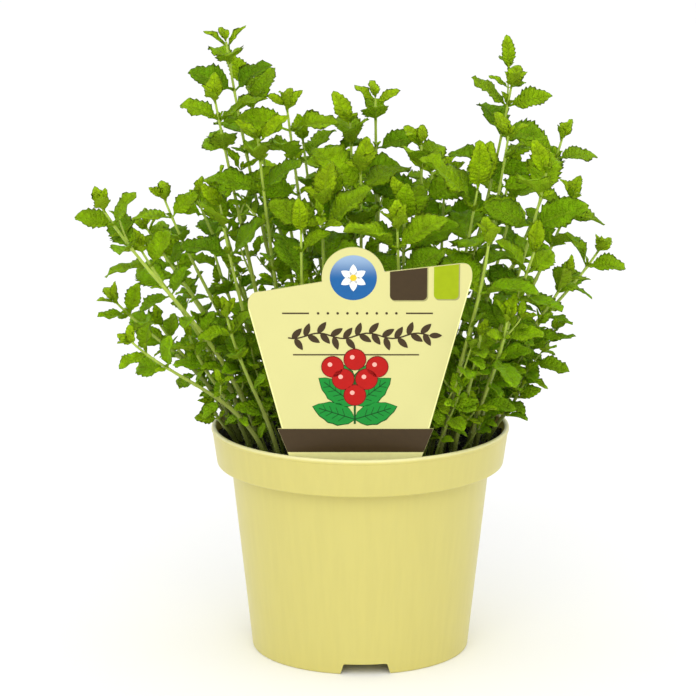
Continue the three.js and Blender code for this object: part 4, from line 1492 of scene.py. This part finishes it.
class Plant:
    """All the stems with their leaves, kept clear of each other."""

    def __init__(self):
        self.stem_cells, self.leaf_cells = Cells(1), Cells(1)
        self.stem_core, self.leaf_core = Cells(0), Cells(0)
        self.stems = [self.stem(row, index) for index, row in enumerate(STEMS)]
        for rank in range(len(PAIR_STEPS)):
            for stem in self.stems:
                for leaf in [each for each in stem["leaves"] if each["rank"] == rank]:
                    self.keep(stem, leaf)
        self.sprigs = self.grow_sprigs()
        self.add_lower_pairs()
        self.add_shoots()
        self.add_small_leaves()

    def stem(self, row, index):
        """One stem, swayed clear of those before it, with the leaves it may carry."""
        for sway in SWAYS:
            line = centre_line(row, sway)
            samples = stalk_samples(station_points(row, line))
            if not self.stem_cells.taken(samples, index + 1):
                break
        self.stem_cells.occupy(samples, index + 1)
        core = np.array([curve_point(line, k / CORE_STEPS) for k in range(CORE_STEPS + 1)])
        self.stem_core.occupy(np.concatenate([samples, core]), index + 1)
        steps = list(enumerate(PAIR_STEPS[:row.pairs]))
        leaves = leaves_of(row, line, steps, PAIR_SIZES, draw_from(PLANT_SEED + SEED_STEP * index))
        return {"row": row, "owner": index + 1, "line": line, "leaves": leaves, "kept": [],
                "shoots": [], "draw": draw_from(EXTRA_SEED + SEED_STEP * index)}

    def blocked(self, samples, owner, close):
        """Whether points meet the pot, the label, a stem or a leaf. Small leaves may come close."""
        if close:
            stems, leaves, margin = self.stem_core, self.leaf_core, CLOSE_MARGIN
        else:
            stems, leaves, margin = self.stem_cells, self.leaf_cells, LABEL_MARGIN
        return (strays(samples) or meets_pot(samples) or meets_label(samples, margin)
                or close and hides_compost(samples)
                or stems.taken(samples, owner) or leaves.taken(samples))

    def keep(self, stem, leaf, close=False, shifts=SHIFTS):
        """Keeps the leaf in the first pose that is clear of everything, and says if it could."""
        for shift in shifts:
            held = posed(leaf, shift)
            samples = blade_samples(held)
            if len(samples):
                if self.blocked(samples, stem["owner"], close):
                    continue
                self.leaf_cells.occupy(samples, 1)
                self.leaf_core.occupy(samples, 1)
            stem["kept"].append(held)
            return True
        return False

    def add_lower_pairs(self):
        """Smaller pairs further down each stem, where the pot's mouth is crowded."""
        for rank, down in enumerate(LOWER_STEPS):
            for stem in self.stems:
                row, line, draw = stem["row"], stem["line"], stem["draw"]
                at = share_down(row, down, line)
                if at < LOWEST_LEAF or PAIR_STEPS[row.pairs - 1] + LOWER_GAP > down:
                    continue
                high = curve_point(line, at)[2] > LOWER_TOP_Z
                if high and (rank == 0 or draw() > HIGH_PAIR_CHANCE):
                    continue
                for leaf in leaves_of(row, line, [(rank, down)], LOWER_SIZES, draw):
                    leaf["splay"] = LOWER_SPLAY + about(draw, LOWER_SPLAY_SPREAD)
                    leaf["age"] = among(draw, LOWER_AGE)
                    self.keep(stem, leaf, close=True)

    def grow_sprigs(self):
        """Short leafy sprigs that come up through the compost between the stems."""
        draw = draw_from(SPRIG_SEED)
        group = {"owner": SPRIG_OWNER, "kept": [], "shoots": [], "draw": draw}
        inner, outer = SPRIG_RING
        for k in range(SPRIGS + FRONT_SPRIGS):
            height, size = among(draw, SPRIG_HEIGHT), among(draw, SPRIG_LEAF)
            if k < SPRIGS:
                bearing = GOLDEN_ANGLE * k
                radius = inner + outer * math.sqrt((k + 0.5) / SPRIGS)
            else:
                way = 1 if k % FRONT_SIDES else -1
                bearing = math.radians(-90 + way * among(draw, FRONT_TURN))
                radius = among(draw, FRONT_RING)
                height, size = height + FRONT_TALLER, size + FRONT_LARGER
            x, y = radius * math.cos(bearing), radius * math.sin(bearing)
            lean = height * among(draw, SPRIG_LEAN) / radius
            row = StemRow(x, y, x * (1 + lean), y * (1 + lean), SOIL_TOP_Z + height,
                          SPRIG_RISE, SPRIG_FINISH, size, SPRIG_PAIRS, 360 * draw())
            line = centre_line(row, about(draw, SPRIG_SWAY))
            points = [curve_point(line, t / SHOOT_STEPS) for t in range(SHOOT_STEPS + 1)]
            samples = np.array(points)
            if meets_label(samples) or self.stem_core.taken(samples):
                continue
            self.stem_core.occupy(samples, SPRIG_OWNER)
            group["shoots"].append([line["root"], *points])
            steps = [(rank, down) for rank, down in enumerate(SPRIG_STEPS) if down < line["length"]]
            for leaf in leaves_of(row, line, steps, SPRIG_SIZES, draw):
                leaf["age"] = among(draw, SPRIG_AGE)
                self.keep(group, leaf, close=True)
            self.add_bud(group, points[-1], curve_along(line, 1), among(draw, SPRIG_BUD))
        return group

    def add_shoots(self):
        """Short side shoots in the axils, each with a pair of leaves and a bud at its end."""
        for stem in self.stems:
            row, line, draw = stem["row"], stem["line"], stem["draw"]
            for down in sorted({*PAIR_STEPS[1:row.pairs], *LOWER_STEPS}):
                at = share_down(row, down, line)
                if at < LOWEST_SHOOT:
                    continue
                x, y, z = curve_point(line, at)
                crowded = z < SHOOT_TOP_Z and math.hypot(x, y) < CROWD_RADIUS
                for half in (0, 180):
                    chance, swing, lean, reach = draw(), draw(), draw(), draw()
                    if chance <= (SHOOT_CHANCE if crowded else FAR_SHOOT_CHANCE):
                        self.grow_shoot(stem, at, half, swing, lean, reach)

    def grow_shoot(self, stem, at, half, swing, lean, reach):
        """One side shoot, where its stalk and at least one leaf find room."""
        row, line, draw = stem["row"], stem["line"], stem["draw"]
        base, along = curve_point(line, at), curve_along(line, at)
        side, front = across_axes(along)
        bearing = math.radians(row.turn + half + 90 * round(2 * swing) + SHOOT_TURN * (swing - 0.5))
        out = side * math.cos(bearing) - front * math.sin(bearing)
        splay = math.radians(SHOOT_SPLAY[0] + SHOOT_SPLAY[1] * lean)
        away = along * math.cos(splay) + out * math.sin(splay)
        length = row.leaf * (SHOOT_LENGTH[0] + SHOOT_LENGTH[1] * reach)
        middle = base + away * length * SHOOT_MIDDLE
        end = middle + unit(away + UP * SHOOT_RISE) * length * SHOOT_END
        points = [
            base * (1 - t) ** 2 + middle * 2 * t * (1 - t) + end * t * t
            for t in (k / SHOOT_STEPS for k in range(SHOOT_STEPS + 1))]
        samples = np.array(points[2:])
        if self.blocked(samples, stem["owner"], close=True):
            return
        heading = unit(end - points[-2])
        size = row.leaf * among(draw, SHOOT_LEAF)
        found = 0
        for rank, (place, open_by, share) in enumerate(SHOOT_PAIRS):
            for side_turn in (0, 180):
                leaf = small_leaf(
                    points[round(place * SHOOT_STEPS)], heading,
                    bearing + math.radians(90 * rank + side_turn + about(draw, SHOOT_LEAF_TURN)),
                    open_by + about(draw, SHOOT_LEAF_SPLAY), size * share * among(draw, SMALL_SIZE),
                    draw, among(draw, SHOOT_LEAF_AGE))
                found += self.keep(stem, leaf, close=True)
        if found:
            stem["shoots"].append(points)
            self.leaf_core.occupy(samples, 1)
            self.add_bud(stem, end, heading, among(draw, SHOOT_BUD))

    def add_bud(self, stem, tip, along, length):
        """A pair of tiny leaves that close over a tip."""
        draw = stem["draw"]
        bearing = 2 * math.pi * draw()
        for half in (0, math.pi):
            leaf = small_leaf(tip, along, bearing + half, among(draw, BUD_SPLAY),
                              length * among(draw, SMALL_SIZE), draw, 0.0)
            held = posed(leaf, SHIFTS[0])
            if not meets_label(np.array([held["root"] + held["forward"] * held["length"]])):
                stem["kept"].append({**held, "fold": BUD_FOLD})

    def add_small_leaves(self):
        """Tip buds, and small leaves in the axils of the larger ones."""
        for stem in self.stems:
            row, line, draw = stem["row"], stem["line"], stem["draw"]
            tip, heading = curve_point(line, 1), curve_along(line, 1)
            self.add_bud(stem, tip, heading, among(draw, TIP_BUD))
            for half in (0, 180):
                leaf = small_leaf(
                    tip, heading, math.radians(row.turn + half + about(draw, TIP_LEAF_TURN)),
                    among(draw, TIP_LEAF_SPLAY), TIP_LEAF * among(draw, TIP_LEAF_SIZE), draw, 0.0)
                self.keep(stem, leaf, close=True, shifts=SMALL_SHIFTS)
            for rank in range(1, row.pairs):
                at = pair_place(row, PAIR_STEPS[rank], line)
                base, along = curve_point(line, at), curve_along(line, at)
                for half in (0, 90, 180, 270):
                    if base[2] > SHOOT_TOP_Z and draw() > HIGH_LEAF_CHANCE:
                        continue
                    turn = row.turn + 90 * (rank + 1) + half
                    leaf = small_leaf(
                        base, along, math.radians(turn + about(draw, AXIL_LEAF_TURN)),
                        among(draw, AXIL_LEAF_SPLAY), among(draw, AXIL_LEAF), draw,
                        among(draw, AXIL_LEAF_AGE))
                    self.keep(stem, leaf, close=True, shifts=SMALL_SHIFTS)


# ---- leafy stems ----

LEAF_FORMS = [  # longest leaf of this form, teeth on a side, columns from midrib to edge
    (7, 3, (0, 0.5, 1)),
    (12, 5, (0, 0.5, 1)),
    (18, 7, (0, 0.12, 0.45, 0.76, 1)),
    (99, 9, (0, 0.12, 0.4, 0.72, 1)),
]
TOOTH_ROWS = [(0.02, 0.92, False), (0.74, 1.09, True)]  # place, width, and if on a vein
TIP_ROOM = 0.35  # of a tooth's length, past the last one
STALK_ACROSS, STALK_DEPTH = 0.042, 0.36  # half the leaf stalk, across and through
LEAST_ACROSS = 0.05  # half the least width of the blade
VEIN_SWEEP = 0.15  # how far a side vein runs forward to the edge, of the blade's length
BLADE_SKIN = 0.13  # half the blade's thickness, in millimetres
CRINKLE = 0.0038  # size of the blade's uneven swellings, in metres
QUILT, VEIN_QUILT = 0.47, 0.1  # how far the blade swells between its veins, and its share on them
MIDRIB_SINK = 0.12  # how deep the midrib lies above
MIDRIB_DEPTH, VEIN_DEPTH = 0.42, 0.14  # how far the midrib and side veins stand out below
FLAT_WIDTH, FLAT_RISE = 0.7, 0.02  # of a form before its tree bends it


def leaf_rows(teeth):
    """Place, width in the teeth, and whether it follows a vein, of each row of points."""
    rows = [(0.0, None, True), (PETIOLE / 2, None, True)]
    for k in range(teeth):
        rows += [((k + place) / (teeth + TIP_ROOM), width, on_vein)
                 for place, width, on_vein in TOOTH_ROWS]
    return rows


def leaf_point(row, i, a):
    """Along, across and swelling of a point, and the thickness above and below it."""
    place, width, on_vein = row
    if width is None:
        skin = STALK_DEPTH * math.sqrt(max(1 - a * a, 0))
        return place, a * STALK_ACROSS, 0.0, skin, skin
    spread = abs(a)
    share = outline_share(place)
    tooth = 1 + (width - 1) * spread ** 3
    across = a * max(0.5 * share * tooth, LEAST_ACROSS)
    s = place - VEIN_SWEEP * math.sin(math.pi * place) * (1 - spread ** 1.4)
    along = PETIOLE + max(s, 0.002 * i) * (1 - PETIOLE)
    hump = math.sin(math.pi * spread ** 0.75) * min(share * 1.6, 1)
    swell = hump * (VEIN_QUILT * QUILT if on_vein else QUILT) - MIDRIB_SINK * (1 - spread) ** 6
    skin = 0 if spread == 1 else BLADE_SKIN
    under = skin + MIDRIB_DEPTH * (1 - place) * (1 - spread) ** 8
    under += VEIN_DEPTH * on_vein * (1 - spread) * (spread > 0)
    return along, across, swell, skin, under


def leaf_form(name, teeth, columns):
    """A flat leaf of unit length and width, closed, with its coordinates kept as attributes.

    Rows follow the side veins, which end in the teeth. Each row has points on the upper and
    the lower skin, which meet at the edge.
    """
    rows = leaf_rows(teeth)
    shares = [-a for a in reversed(columns[1:])] + list(columns)
    data = {key: [] for key in ("along", "across", "rise", "vein", "edge", "spread")}
    grid = {}

    def put(along, across, rise, vein, edge, spread):
        for key, value in zip(data, (along, across, rise, vein, edge, spread)):
            data[key].append(value)
        return len(data["along"]) - 1

    for i, row in enumerate(rows):
        _, width, on_vein = row
        for j, a in enumerate(shares):
            along, across, swell, skin, under = leaf_point(row, i, a)
            vein = 1.0 if on_vein or a == 0 else 0.0
            edge = 0 if width is None else abs(a) ** 2
            top = put(along, across, swell + skin, vein, edge, a)
            low = top if abs(a) == 1 else put(along, across, swell - under, vein, edge, a)
            grid[i, j] = (top, low)
    tip = put(1.0, 0.0, 0.0, 1.0, 0.0, 0.0)
    faces, underside = [], []
    last = len(rows) - 1
    for j in range(len(shares) - 1):
        for level in (0, 1):
            column = [[grid[i, j][level], grid[i, j + 1][level],
                       grid[i + 1, j + 1][level], grid[i + 1, j][level]] for i in range(last)]
            column.append([grid[last, j][level], grid[last, j + 1][level], tip])
            faces += column if level else [face[::-1] for face in column]
            underside += [level] * len(column)
    root_loop = [grid[0, j][0] for j in range(len(shares))]
    root_loop += [grid[0, j][1] for j in range(len(shares) - 2, 0, -1)]
    faces.append(root_loop)
    underside.append(1)
    mesh = bpy.data.meshes.new(name)
    points = [(across * FLAT_WIDTH, along, rise * FLAT_RISE)
              for along, across, rise in zip(data["along"], data["across"], data["rise"])]
    mesh.from_pydata(points, [], faces)
    for key, values in data.items():
        keep_values(mesh, f"leaf_{key}", "FLOAT", values)
    keep_values(mesh, "leaf_underside", "FLOAT", underside, "FACE")
    mesh.shade_smooth()
    return bpy.data.objects.new(name, mesh)


# What each leaf's point carries for the tree
LEAF_NUMBERS = ["length", "width", "droop", "fold", "phase", "wave", "growth", "tone", "age"]
LEAF_LENGTHS = ("length", "width", "wave")  # of these, those in millimetres
LEAF_VECTORS = ["forward", "up"]


def leaf_place(tree):
    """The place of each point of a leaf: bent along its length, folded at the midrib, and wavy."""
    along, across, rise, edge, length, width, droop, fold, phase, wave, growth = (
        Value(tree, stored(tree, f"leaf_{name}")) for name in (
            "along", "across", "rise", "edge", "length", "width", "droop", "fold", "phase",
            "wave", "growth"))
    root, forward, up = (
        Value(tree, stored(tree, f"leaf_{name}", "FLOAT_VECTOR"), "VectorMath")
        for name in ("root", *LEAF_VECTORS))
    offset = across * width
    spot = add(tree, "ShaderNodeCombineXYZ", {
        "X": along * length, "Y": offset, "Z": phase * 0.01})
    crinkles = noise(tree, spot, 1 / CRINKLE, 1.0)
    apart = add(tree, "ShaderNodeSeparateXYZ", {0: crinkles.outputs["Color"]}).outputs
    lift, shove = Value(tree, apart["X"]), Value(tree, apart["Y"])

    bend = droop * along
    sine, cosine = bend.step("SINE"), bend.step("COSINE")
    radius = length / droop
    above = up * cosine + forward * sine
    aside = (forward * cosine - up * sine).step("CROSS_PRODUCT", above)
    ragged = (shove - 0.5) * growth * edge
    sideways = ragged.step("MULTIPLY_ADD", 2.2, offset) * fold.step("COSINE")
    flutter = along.step("MULTIPLY_ADD", 13.0, phase).step("SINE") * wave * edge
    waved = offset.step("ABSOLUTE") * fold.step("SINE") + rise * growth + flutter
    crinkled = (lift - 0.5) * edge.step("MULTIPLY_ADD", 0.75, 0.25) * growth
    height = crinkled.step("MULTIPLY_ADD", 3.4, waved)
    bent = root + forward * (radius * sine) - up * (radius * (1.0 - cosine))
    return bent + aside * sideways + above * height


def stalk_tube(tree, chains):
    """Square stems with rounded corners along the chains of points."""
    line = add(tree, "GeometryNodeMeshToCurve", {"Mesh": chains})
    side = math.sqrt(2)
    square = add(tree, "GeometryNodeCurvePrimitiveQuadrilateral", {
        "Width": side, "Height": side})
    section = add(tree, "GeometryNodeFilletCurve", {
        "Curve": square, "Radius": 0.34, "Count": 2}, mode="POLY")
    return add(tree, "GeometryNodeCurveToMesh", {
        "Curve": line, "Profile Curve": section, "Scale": stored(tree, "stalk_radius"),
        "Fill Caps": True})


def hairs_on(tree, tube, entry):
    """Short stiff hairs, scattered over the stems."""
    seed = entry["Seed"]
    roots = add(tree, "GeometryNodeDistributePointsOnFaces", {
        "Mesh": tube, "Density": entry["Hair density"], "Seed": seed}).outputs
    tilt = random_value(tree, (-0.6, -0.6, -3.1), (0.6, 0.6, 3.1), seed, "FLOAT_VECTOR")
    facing = add(tree, "FunctionNodeRotateRotation", {
        0: roots["Rotation"], 1: add(tree, "FunctionNodeEulerToRotation", {0: tilt})},
        rotation_space="LOCAL")
    hair = add(tree, "GeometryNodeMeshCone", {
        "Vertices": 3, "Radius Top": 0.0, "Radius Bottom": entry["Hair radius"],
        "Depth": entry["Hair length"]})
    hairs = add(tree, "GeometryNodeInstanceOnPoints", {
        "Points": roots["Points"], "Instance": hair, "Rotation": facing,
        "Scale": random_value(tree, 0.5, 1.25, seed)})
    return add(tree, "GeometryNodeRealizeInstances", {0: hairs})


def leafy_stem_tree(materials, forms):
    """Stalks along the skeleton's edges with hairs on them, and a leaf at each leaf point."""
    tree, entry = new_tree("Leafy stem", ["Hair length", "Hair radius", "Hair density"])
    split = add(tree, "GeometryNodeSeparateGeometry", {
        "Geometry": entry["Geometry"], "Selection": stored(tree, "is_leaf", "BOOLEAN")},
        domain="POINT").outputs
    loose = copies(tree, split["Selection"], forms, stored(tree, "leaf_form", "INT"))
    leaves = add(tree, "GeometryNodeSetPosition", {
        "Geometry": loose, "Position": leaf_place(tree)})
    tube = stalk_tube(tree, split["Inverted"])
    stalks = add(tree, "GeometryNodeSetShadeSmooth", {"Geometry": tube})
    parts = {"leaf": leaves, "stalk": stalks, "hair": hairs_on(tree, tube, entry)}
    whole = joined(tree, [
        with_material(tree, part, materials[name]) for name, part in parts.items()])
    add(tree, "NodeGroupOutput", {0: whole})
    return tree


def stalk_chain(row, line):
    """Points, radii and ages of a stem, from root to tip. It swells where its leaves grow."""
    downs = [*PAIR_STEPS[1:row.pairs], *LOWER_STEPS]
    joints = [at for at in (pair_place(row, down, line) for down in downs) if at > LOWEST_JOINT]
    half = JOINT_LENGTH / 2 / line["length"]
    places = {k / STALK_STEPS: 1.0 for k in range(STALK_STEPS + 1)}
    for at in joints:
        places = {t: swell for t, swell in places.items() if abs(t - at) > 1.3 * half}
        places.update({at - half: 1.0, at: JOINT_SWELL, at + half: 1.0})
    points, radii, ages = [line["root"]], [STEM_BASE_RADIUS], [1.0]
    for t, swell in sorted(places.items()):
        points.append(curve_point(line, t))
        radii.append((STEM_BASE_RADIUS + (STEM_TIP_RADIUS - STEM_BASE_RADIUS) * t) * swell)
        ages.append(1 - t)
    return points, radii, ages


def form_of(leaf):
    """The number of the form that suits a leaf's length."""
    return next(i for i, form in enumerate(LEAF_FORMS) if leaf["length"] < form[0])


def chains_of(stem):
    """Points, radii and ages along the stem and its side shoots."""
    chains = [stalk_chain(stem["row"], stem["line"])] if "line" in stem else []
    for points in stem["shoots"]:
        count = len(points)
        radii = [SHOOT_RADIUS - SHOOT_TAPER * k / (count - 1) for k in range(count)]
        chains.append((points, radii, [SHOOT_AGE] * count))
    return chains


def skeleton(stem, name):
    """A mesh of bare points and edges that carries all that the stem's tree needs."""
    points, edges, radii, ages = [], [], [], []
    for chain, chain_radii, chain_ages in chains_of(stem):
        first = len(points)
        points += list(chain)
        edges += [(first + k, first + k + 1) for k in range(len(chain) - 1)]
        radii += chain_radii
        ages += chain_ages
    bones = len(points)
    leaves = stem["kept"]
    points += [leaf["root"] for leaf in leaves]
    mesh = bpy.data.meshes.new(name)
    mesh.from_pydata([[c * MM for c in p] for p in points], edges, [])
    draw = draw_from(EXTRA_SEED + LOOK_SEED_STEP * stem["owner"])
    for leaf in leaves:
        leaf["phase"] = 2 * math.pi * draw()
        leaf["wave"] = leaf["length"] * among(draw, WAVE)
        leaf["growth"] = MM * (RELIEF[0] + RELIEF[1] * leaf["length"] / LEAF_NOMINAL)
        leaf["tone"] = draw()
        leaf["width"] *= 1 if leaf["rank"] else TIP_WIDTH
    for key in LEAF_NUMBERS:
        scale = MM if key in LEAF_LENGTHS else 1
        keep_values(mesh, f"leaf_{key}", "FLOAT",
                    [0.0] * bones + [leaf[key] * scale for leaf in leaves])
    for key in LEAF_VECTORS:
        values = np.zeros((len(points), 3))
        values[bones:] = [leaf[key] for leaf in leaves]
        keep_values(mesh, f"leaf_{key}", "FLOAT_VECTOR", values.ravel())
    keep_values(mesh, "leaf_root", "FLOAT_VECTOR", (np.array(points) * MM).ravel())
    keep_values(mesh, "leaf_form", "INT", [0] * bones + [form_of(leaf) for leaf in leaves])
    keep_values(mesh, "is_leaf", "BOOLEAN", [False] * bones + [True] * len(leaves))
    keep_values(mesh, "stalk_radius", "FLOAT", [r * MM for r in radii] + [0.0] * len(leaves))
    keep_values(mesh, "stalk_age", "FLOAT", ages + [0.0] * len(leaves))
    return in_scene(name, mesh)


def painted_low_shade(tree, place, least, shade_top):
    """Painted shade: the share of its light that a leaf or stem keeps, less the lower it grows
    towards the compost.
    """
    return map_range(tree, height_of(tree, place), (SOIL_TOP_Z * MM, shade_top * MM),
                     (least, 1.0), "SMOOTHSTEP")


def mint_leaf(plant):
    """A living mint leaf: a waxy, finely downy blade with light in it.

    The face is satin, sunk along its veins, and netted between them in small cells. The
    underside is paler and duller. Light from behind comes through yellow-green.
    """
    material, tree, place = new_material("mint_leaf")
    tone, age, vein, underside, spread = (
        Value(tree, carried(tree, f"leaf_{name}"))
        for name in ("tone", "age", "vein", "underside", "spread"))
    centre, fine_vein = spread.step("ABSOLUTE"), vein.step("POWER", 6.0)
    rib = (1.0 - centre * 11.0).step("MAXIMUM", 0.0)
    main_veins = (fine_vein * 0.36).step("MAXIMUM", rib * 0.6)
    rim = centre.step("POWER", 14.0).step("MULTIPLY_ADD", -0.38, 1.0)
    mottle = add(tree, "ShaderNodeTexNoise", {
        "Vector": place, "W": tone * 37.0, "Scale": 260.0, "Detail": 3.0}, noise_dimensions="4D")
    cells = add(tree, "ShaderNodeTexVoronoi", {
        "Vector": place, "Scale": 1 / NET_CELL}, feature="DISTANCE_TO_EDGE")
    deep = blend(tree, tone, plant.leaf, plant.dark_leaf)
    young = map_range(tree, age, (0.0, 0.6), (0.8, 0.0))
    face = blend(tree, young, deep, plant.young_leaf)
    patch = Value(tree, map_range(tree, mottle, (0.3, 0.7), (0.74, 1.34)))
    net = Value(tree, map_range(tree, cells.outputs["Distance"], (0.0, 0.35), (0.0, 1.0)))
    down = Value(tree, noise(tree, place, 2600.0, 1.0))
    veins = net.step("MULTIPLY_ADD", -0.17, 0.17).step("MAXIMUM", main_veins)
    veined = blend(tree, veins, scaled(tree, face, patch * rim), plant.vein)
    both_faces = blend(tree, underside * 0.62, veined, plant.underside)
    # painted shade, darker low in the pot
    colour = scaled(tree, both_faces, painted_low_shade(tree, place, SHADED_LEAF_LIGHT, LEAF_SHADE_TOP_Z))
    quilted = net.step("MULTIPLY_ADD", 0.5, fine_vein * -0.46)
    bump = bumps(tree, down.step("MULTIPLY_ADD", 0.16, quilted), 1.0, 0.00068)
    skin = principled(
        tree, colour, map_range(tree, underside, (0, 1), (0.47, 0.72)), IOR=1.42,
        Normal=bump, Specular_IOR_Level=0.15, Sheen_Weight=0.15, Sheen_Roughness=0.35,
        Sheen_Tint=to_linear("#c6dc5a"))
    through = add(tree, "ShaderNodeVectorMath", {0: colour, 1: GLOW_TINT}, operation="MULTIPLY")
    glow = add(tree, "ShaderNodeBsdfTranslucent", {"Color": through, "Normal": bump})
    return surfaced(material, add(tree, "ShaderNodeMixShader", {
        0: LEAF_GLOW, 1: skin, 2: glow}))


def mint_stalk(plant):
    """A soft green stem: ridged along its length, yellower and browner towards its foot, and darkened
    there by painted shade.
    """
    material, tree, place = new_material("mint_stalk")
    stretch = add(tree, "ShaderNodeMapping", {"Vector": place, "Scale": (1.0, 1.0, 0.14)})
    ridges = noise(tree, stretch, 1500.0)
    old = maths(tree, "MULTIPLY", carried(tree, "stalk_age"), noise(tree, place, 180.0, 3.0))
    aged = blend(tree, old, plant.stalk, to_linear("#8f8d3a"))
    # painted shade darkens the stem low in the pot
    light = maths(tree, "MULTIPLY", map_range(tree, ridges, (0.3, 0.7), (0.85, 1.12)),
                  painted_low_shade(tree, place, SHADED_STALK_LIGHT, LOWER_TOP_Z))
    return surfaced(material, principled(
        tree, scaled(tree, aged, light), 0.55, IOR=1.4, Normal=bumps(tree, ridges, 0.4, 0.0003),
        Subsurface_Weight=0.15, Subsurface_Scale=0.0012, Subsurface_Radius=(0.8, 1.0, 0.3)))


def plant_hair():
    """Fine clear plant hairs, coarser than life so that they show: pale and lit through."""
    material, tree, place = new_material("plant_hair")
    colour = blend(tree, noise(tree, place, 300.0), to_linear("#b4c878"),
                   to_linear("#dfe8bc"))
    glow = add(tree, "ShaderNodeBsdfTranslucent", {"Color": colour})
    return surfaced(material, add(tree, "ShaderNodeMixShader", {
        0: HAIR_GLOW, 1: principled(tree, colour, 0.5, IOR=1.5), 2: glow}))


class MINT_OT_stems(bpy.types.Operator):
    """Build the leafy stems"""

    bl_idname = "mint.stems"
    bl_label = "Leafy stems"

    def execute(self, context):
        plant = context.scene.mint_plant
        forms = bpy.data.collections.new("leaf_forms")
        for i, (_, teeth, columns) in enumerate(LEAF_FORMS):
            forms.objects.link(leaf_form(f"leaf_form_{i}", teeth, columns))
        materials = {"leaf": mint_leaf(plant), "stalk": mint_stalk(plant), "hair": plant_hair()}
        tree = leafy_stem_tree(materials, forms)
        grown = Plant()
        for stem in [*grown.stems, grown.sprigs]:
            number = f"{stem['owner']:02d}"
            tall = "line" in stem
            piece = skeleton(stem, f"mint_stem_{number}" if tall else "mint_sprigs")
            run_tree(piece, tree, {
                "Hair length": plant.hair_length, "Hair radius": plant.hair_radius,
                "Hair density": plant.hair_density, "Seed": stem["owner"]}, context)
            hand_over(piece, "mint_foliage", *([f"leafy_stem_{number}"] if tall else []))
        remove_all(forms)
        return {"FINISHED"}


# ---- stage ----


def aim(thing, place, target):
    """Puts a light or camera at a place in metres, looking at a target."""
    thing.location = place
    thing.rotation_euler = (Vector(target) - Vector(place)).to_track_quat("-Z", "Y").to_euler()


def key_light(power):
    """A large soft light, high at the front."""
    lamp = bpy.data.lights.new("key_light", "AREA")
    lamp.shape = "RECTANGLE"
    lamp.size, lamp.size_y = KEY_SIZE
    lamp.energy = power
    aim(in_scene("key_light", lamp), KEY_PLACE, KEY_TARGET)


def surround(strength):
    """Even white light from all round."""
    world = bpy.data.worlds.new("surround")
    world.use_nodes = True
    tree = world.node_tree
    tree.nodes.clear()
    shade = add(tree, "ShaderNodeBackground", {
        "Color": to_linear("#ffffff"), "Strength": strength})
    add(tree, "ShaderNodeOutputWorld", {"Surface": shade})
    bpy.context.scene.world = world


def long_lens():
    """The camera, from far away and a little above."""
    camera = bpy.data.cameras.new("camera")
    camera.sensor_width = SENSOR
    camera.lens = FOCAL_PIXELS / PICTURE_PIXELS * SENSOR
    camera.clip_start, camera.clip_end = CAMERA_NEAR, CAMERA_FAR
    thing = in_scene("camera", camera)
    aim(thing, [c * MM for c in CAMERA_PLACE], [c * MM for c in CAMERA_TARGET])
    bpy.context.scene.camera = thing


def painted_floor(stage):
    """A matt painted floor, rolled: even and pale."""
    material, tree, place = new_material("matt_paint")
    bump = bumps(tree, noise(tree, place, 500.0), 0.02, 0.0002)
    return surfaced(material, principled(
        tree, stage.floor, 0.9, Specular_IOR_Level=0.1, Normal=bump))


class MINT_OT_stage(bpy.types.Operator):
    """Set the floor, the lights and the camera"""

    bl_idname = "mint.stage"
    bl_label = "Stage"

    def execute(self, context):
        stage = context.scene.mint_stage
        reach = FLOOR_REACH / MM
        corners = [(-reach, -reach, 0), (reach, -reach, 0), (reach, reach, 0), (-reach, reach, 0)]
        floor = new_piece("floor", corners, [(0, 1, 2, 3)], smooth=False)
        floor.data.materials.append(painted_floor(stage))
        surround(stage.sky)
        key_light(stage.key)
        long_lens()
        context.scene.view_settings.view_transform = "Standard"
        return {"FINISHED"}


class MINT_PT_panel(bpy.types.Panel):
    """The operators and settings of the potted mint"""

    bl_idname = "MINT_PT_panel"
    bl_label = "Potted Mint"
    bl_space_type = "VIEW_3D"
    bl_region_type = "UI"
    bl_category = "Potted Mint"

    def draw(self, context):
        for operator, settings, _ in STAGES:
            box = self.layout.box()
            box.operator(operator.bl_idname)
            group = getattr(context.scene, settings)
            for name in group.__annotations__:
                box.prop(group, name)


STAGES = [
    (MINT_OT_stage, "mint_stage", MintStageSettings),
    (MINT_OT_pot, "mint_pot", MintPotSettings),
    (MINT_OT_compost, "mint_compost", MintCompostSettings),
    (MINT_OT_label, "mint_label", MintLabelSettings),
    (MINT_OT_stems, "mint_plant", MintPlantSettings),
]


def register():
    for operator, name, group in STAGES:
        bpy.utils.register_class(group)
        setattr(bpy.types.Scene, name, bpy.props.PointerProperty(type=group))
        bpy.utils.register_class(operator)
    bpy.utils.register_class(MINT_PT_panel)


def unregister():
    bpy.utils.unregister_class(MINT_PT_panel)
    for operator, name, group in reversed(STAGES):
        bpy.utils.unregister_class(operator)
        delattr(bpy.types.Scene, name)
        bpy.utils.unregister_class(group)


def main():
    register()
    bpy.ops.mint.stage()
    bpy.ops.mint.pot()
    bpy.ops.mint.compost()
    bpy.ops.mint.label()
    bpy.ops.mint.stems()


if __name__ == "__main__":
    main()
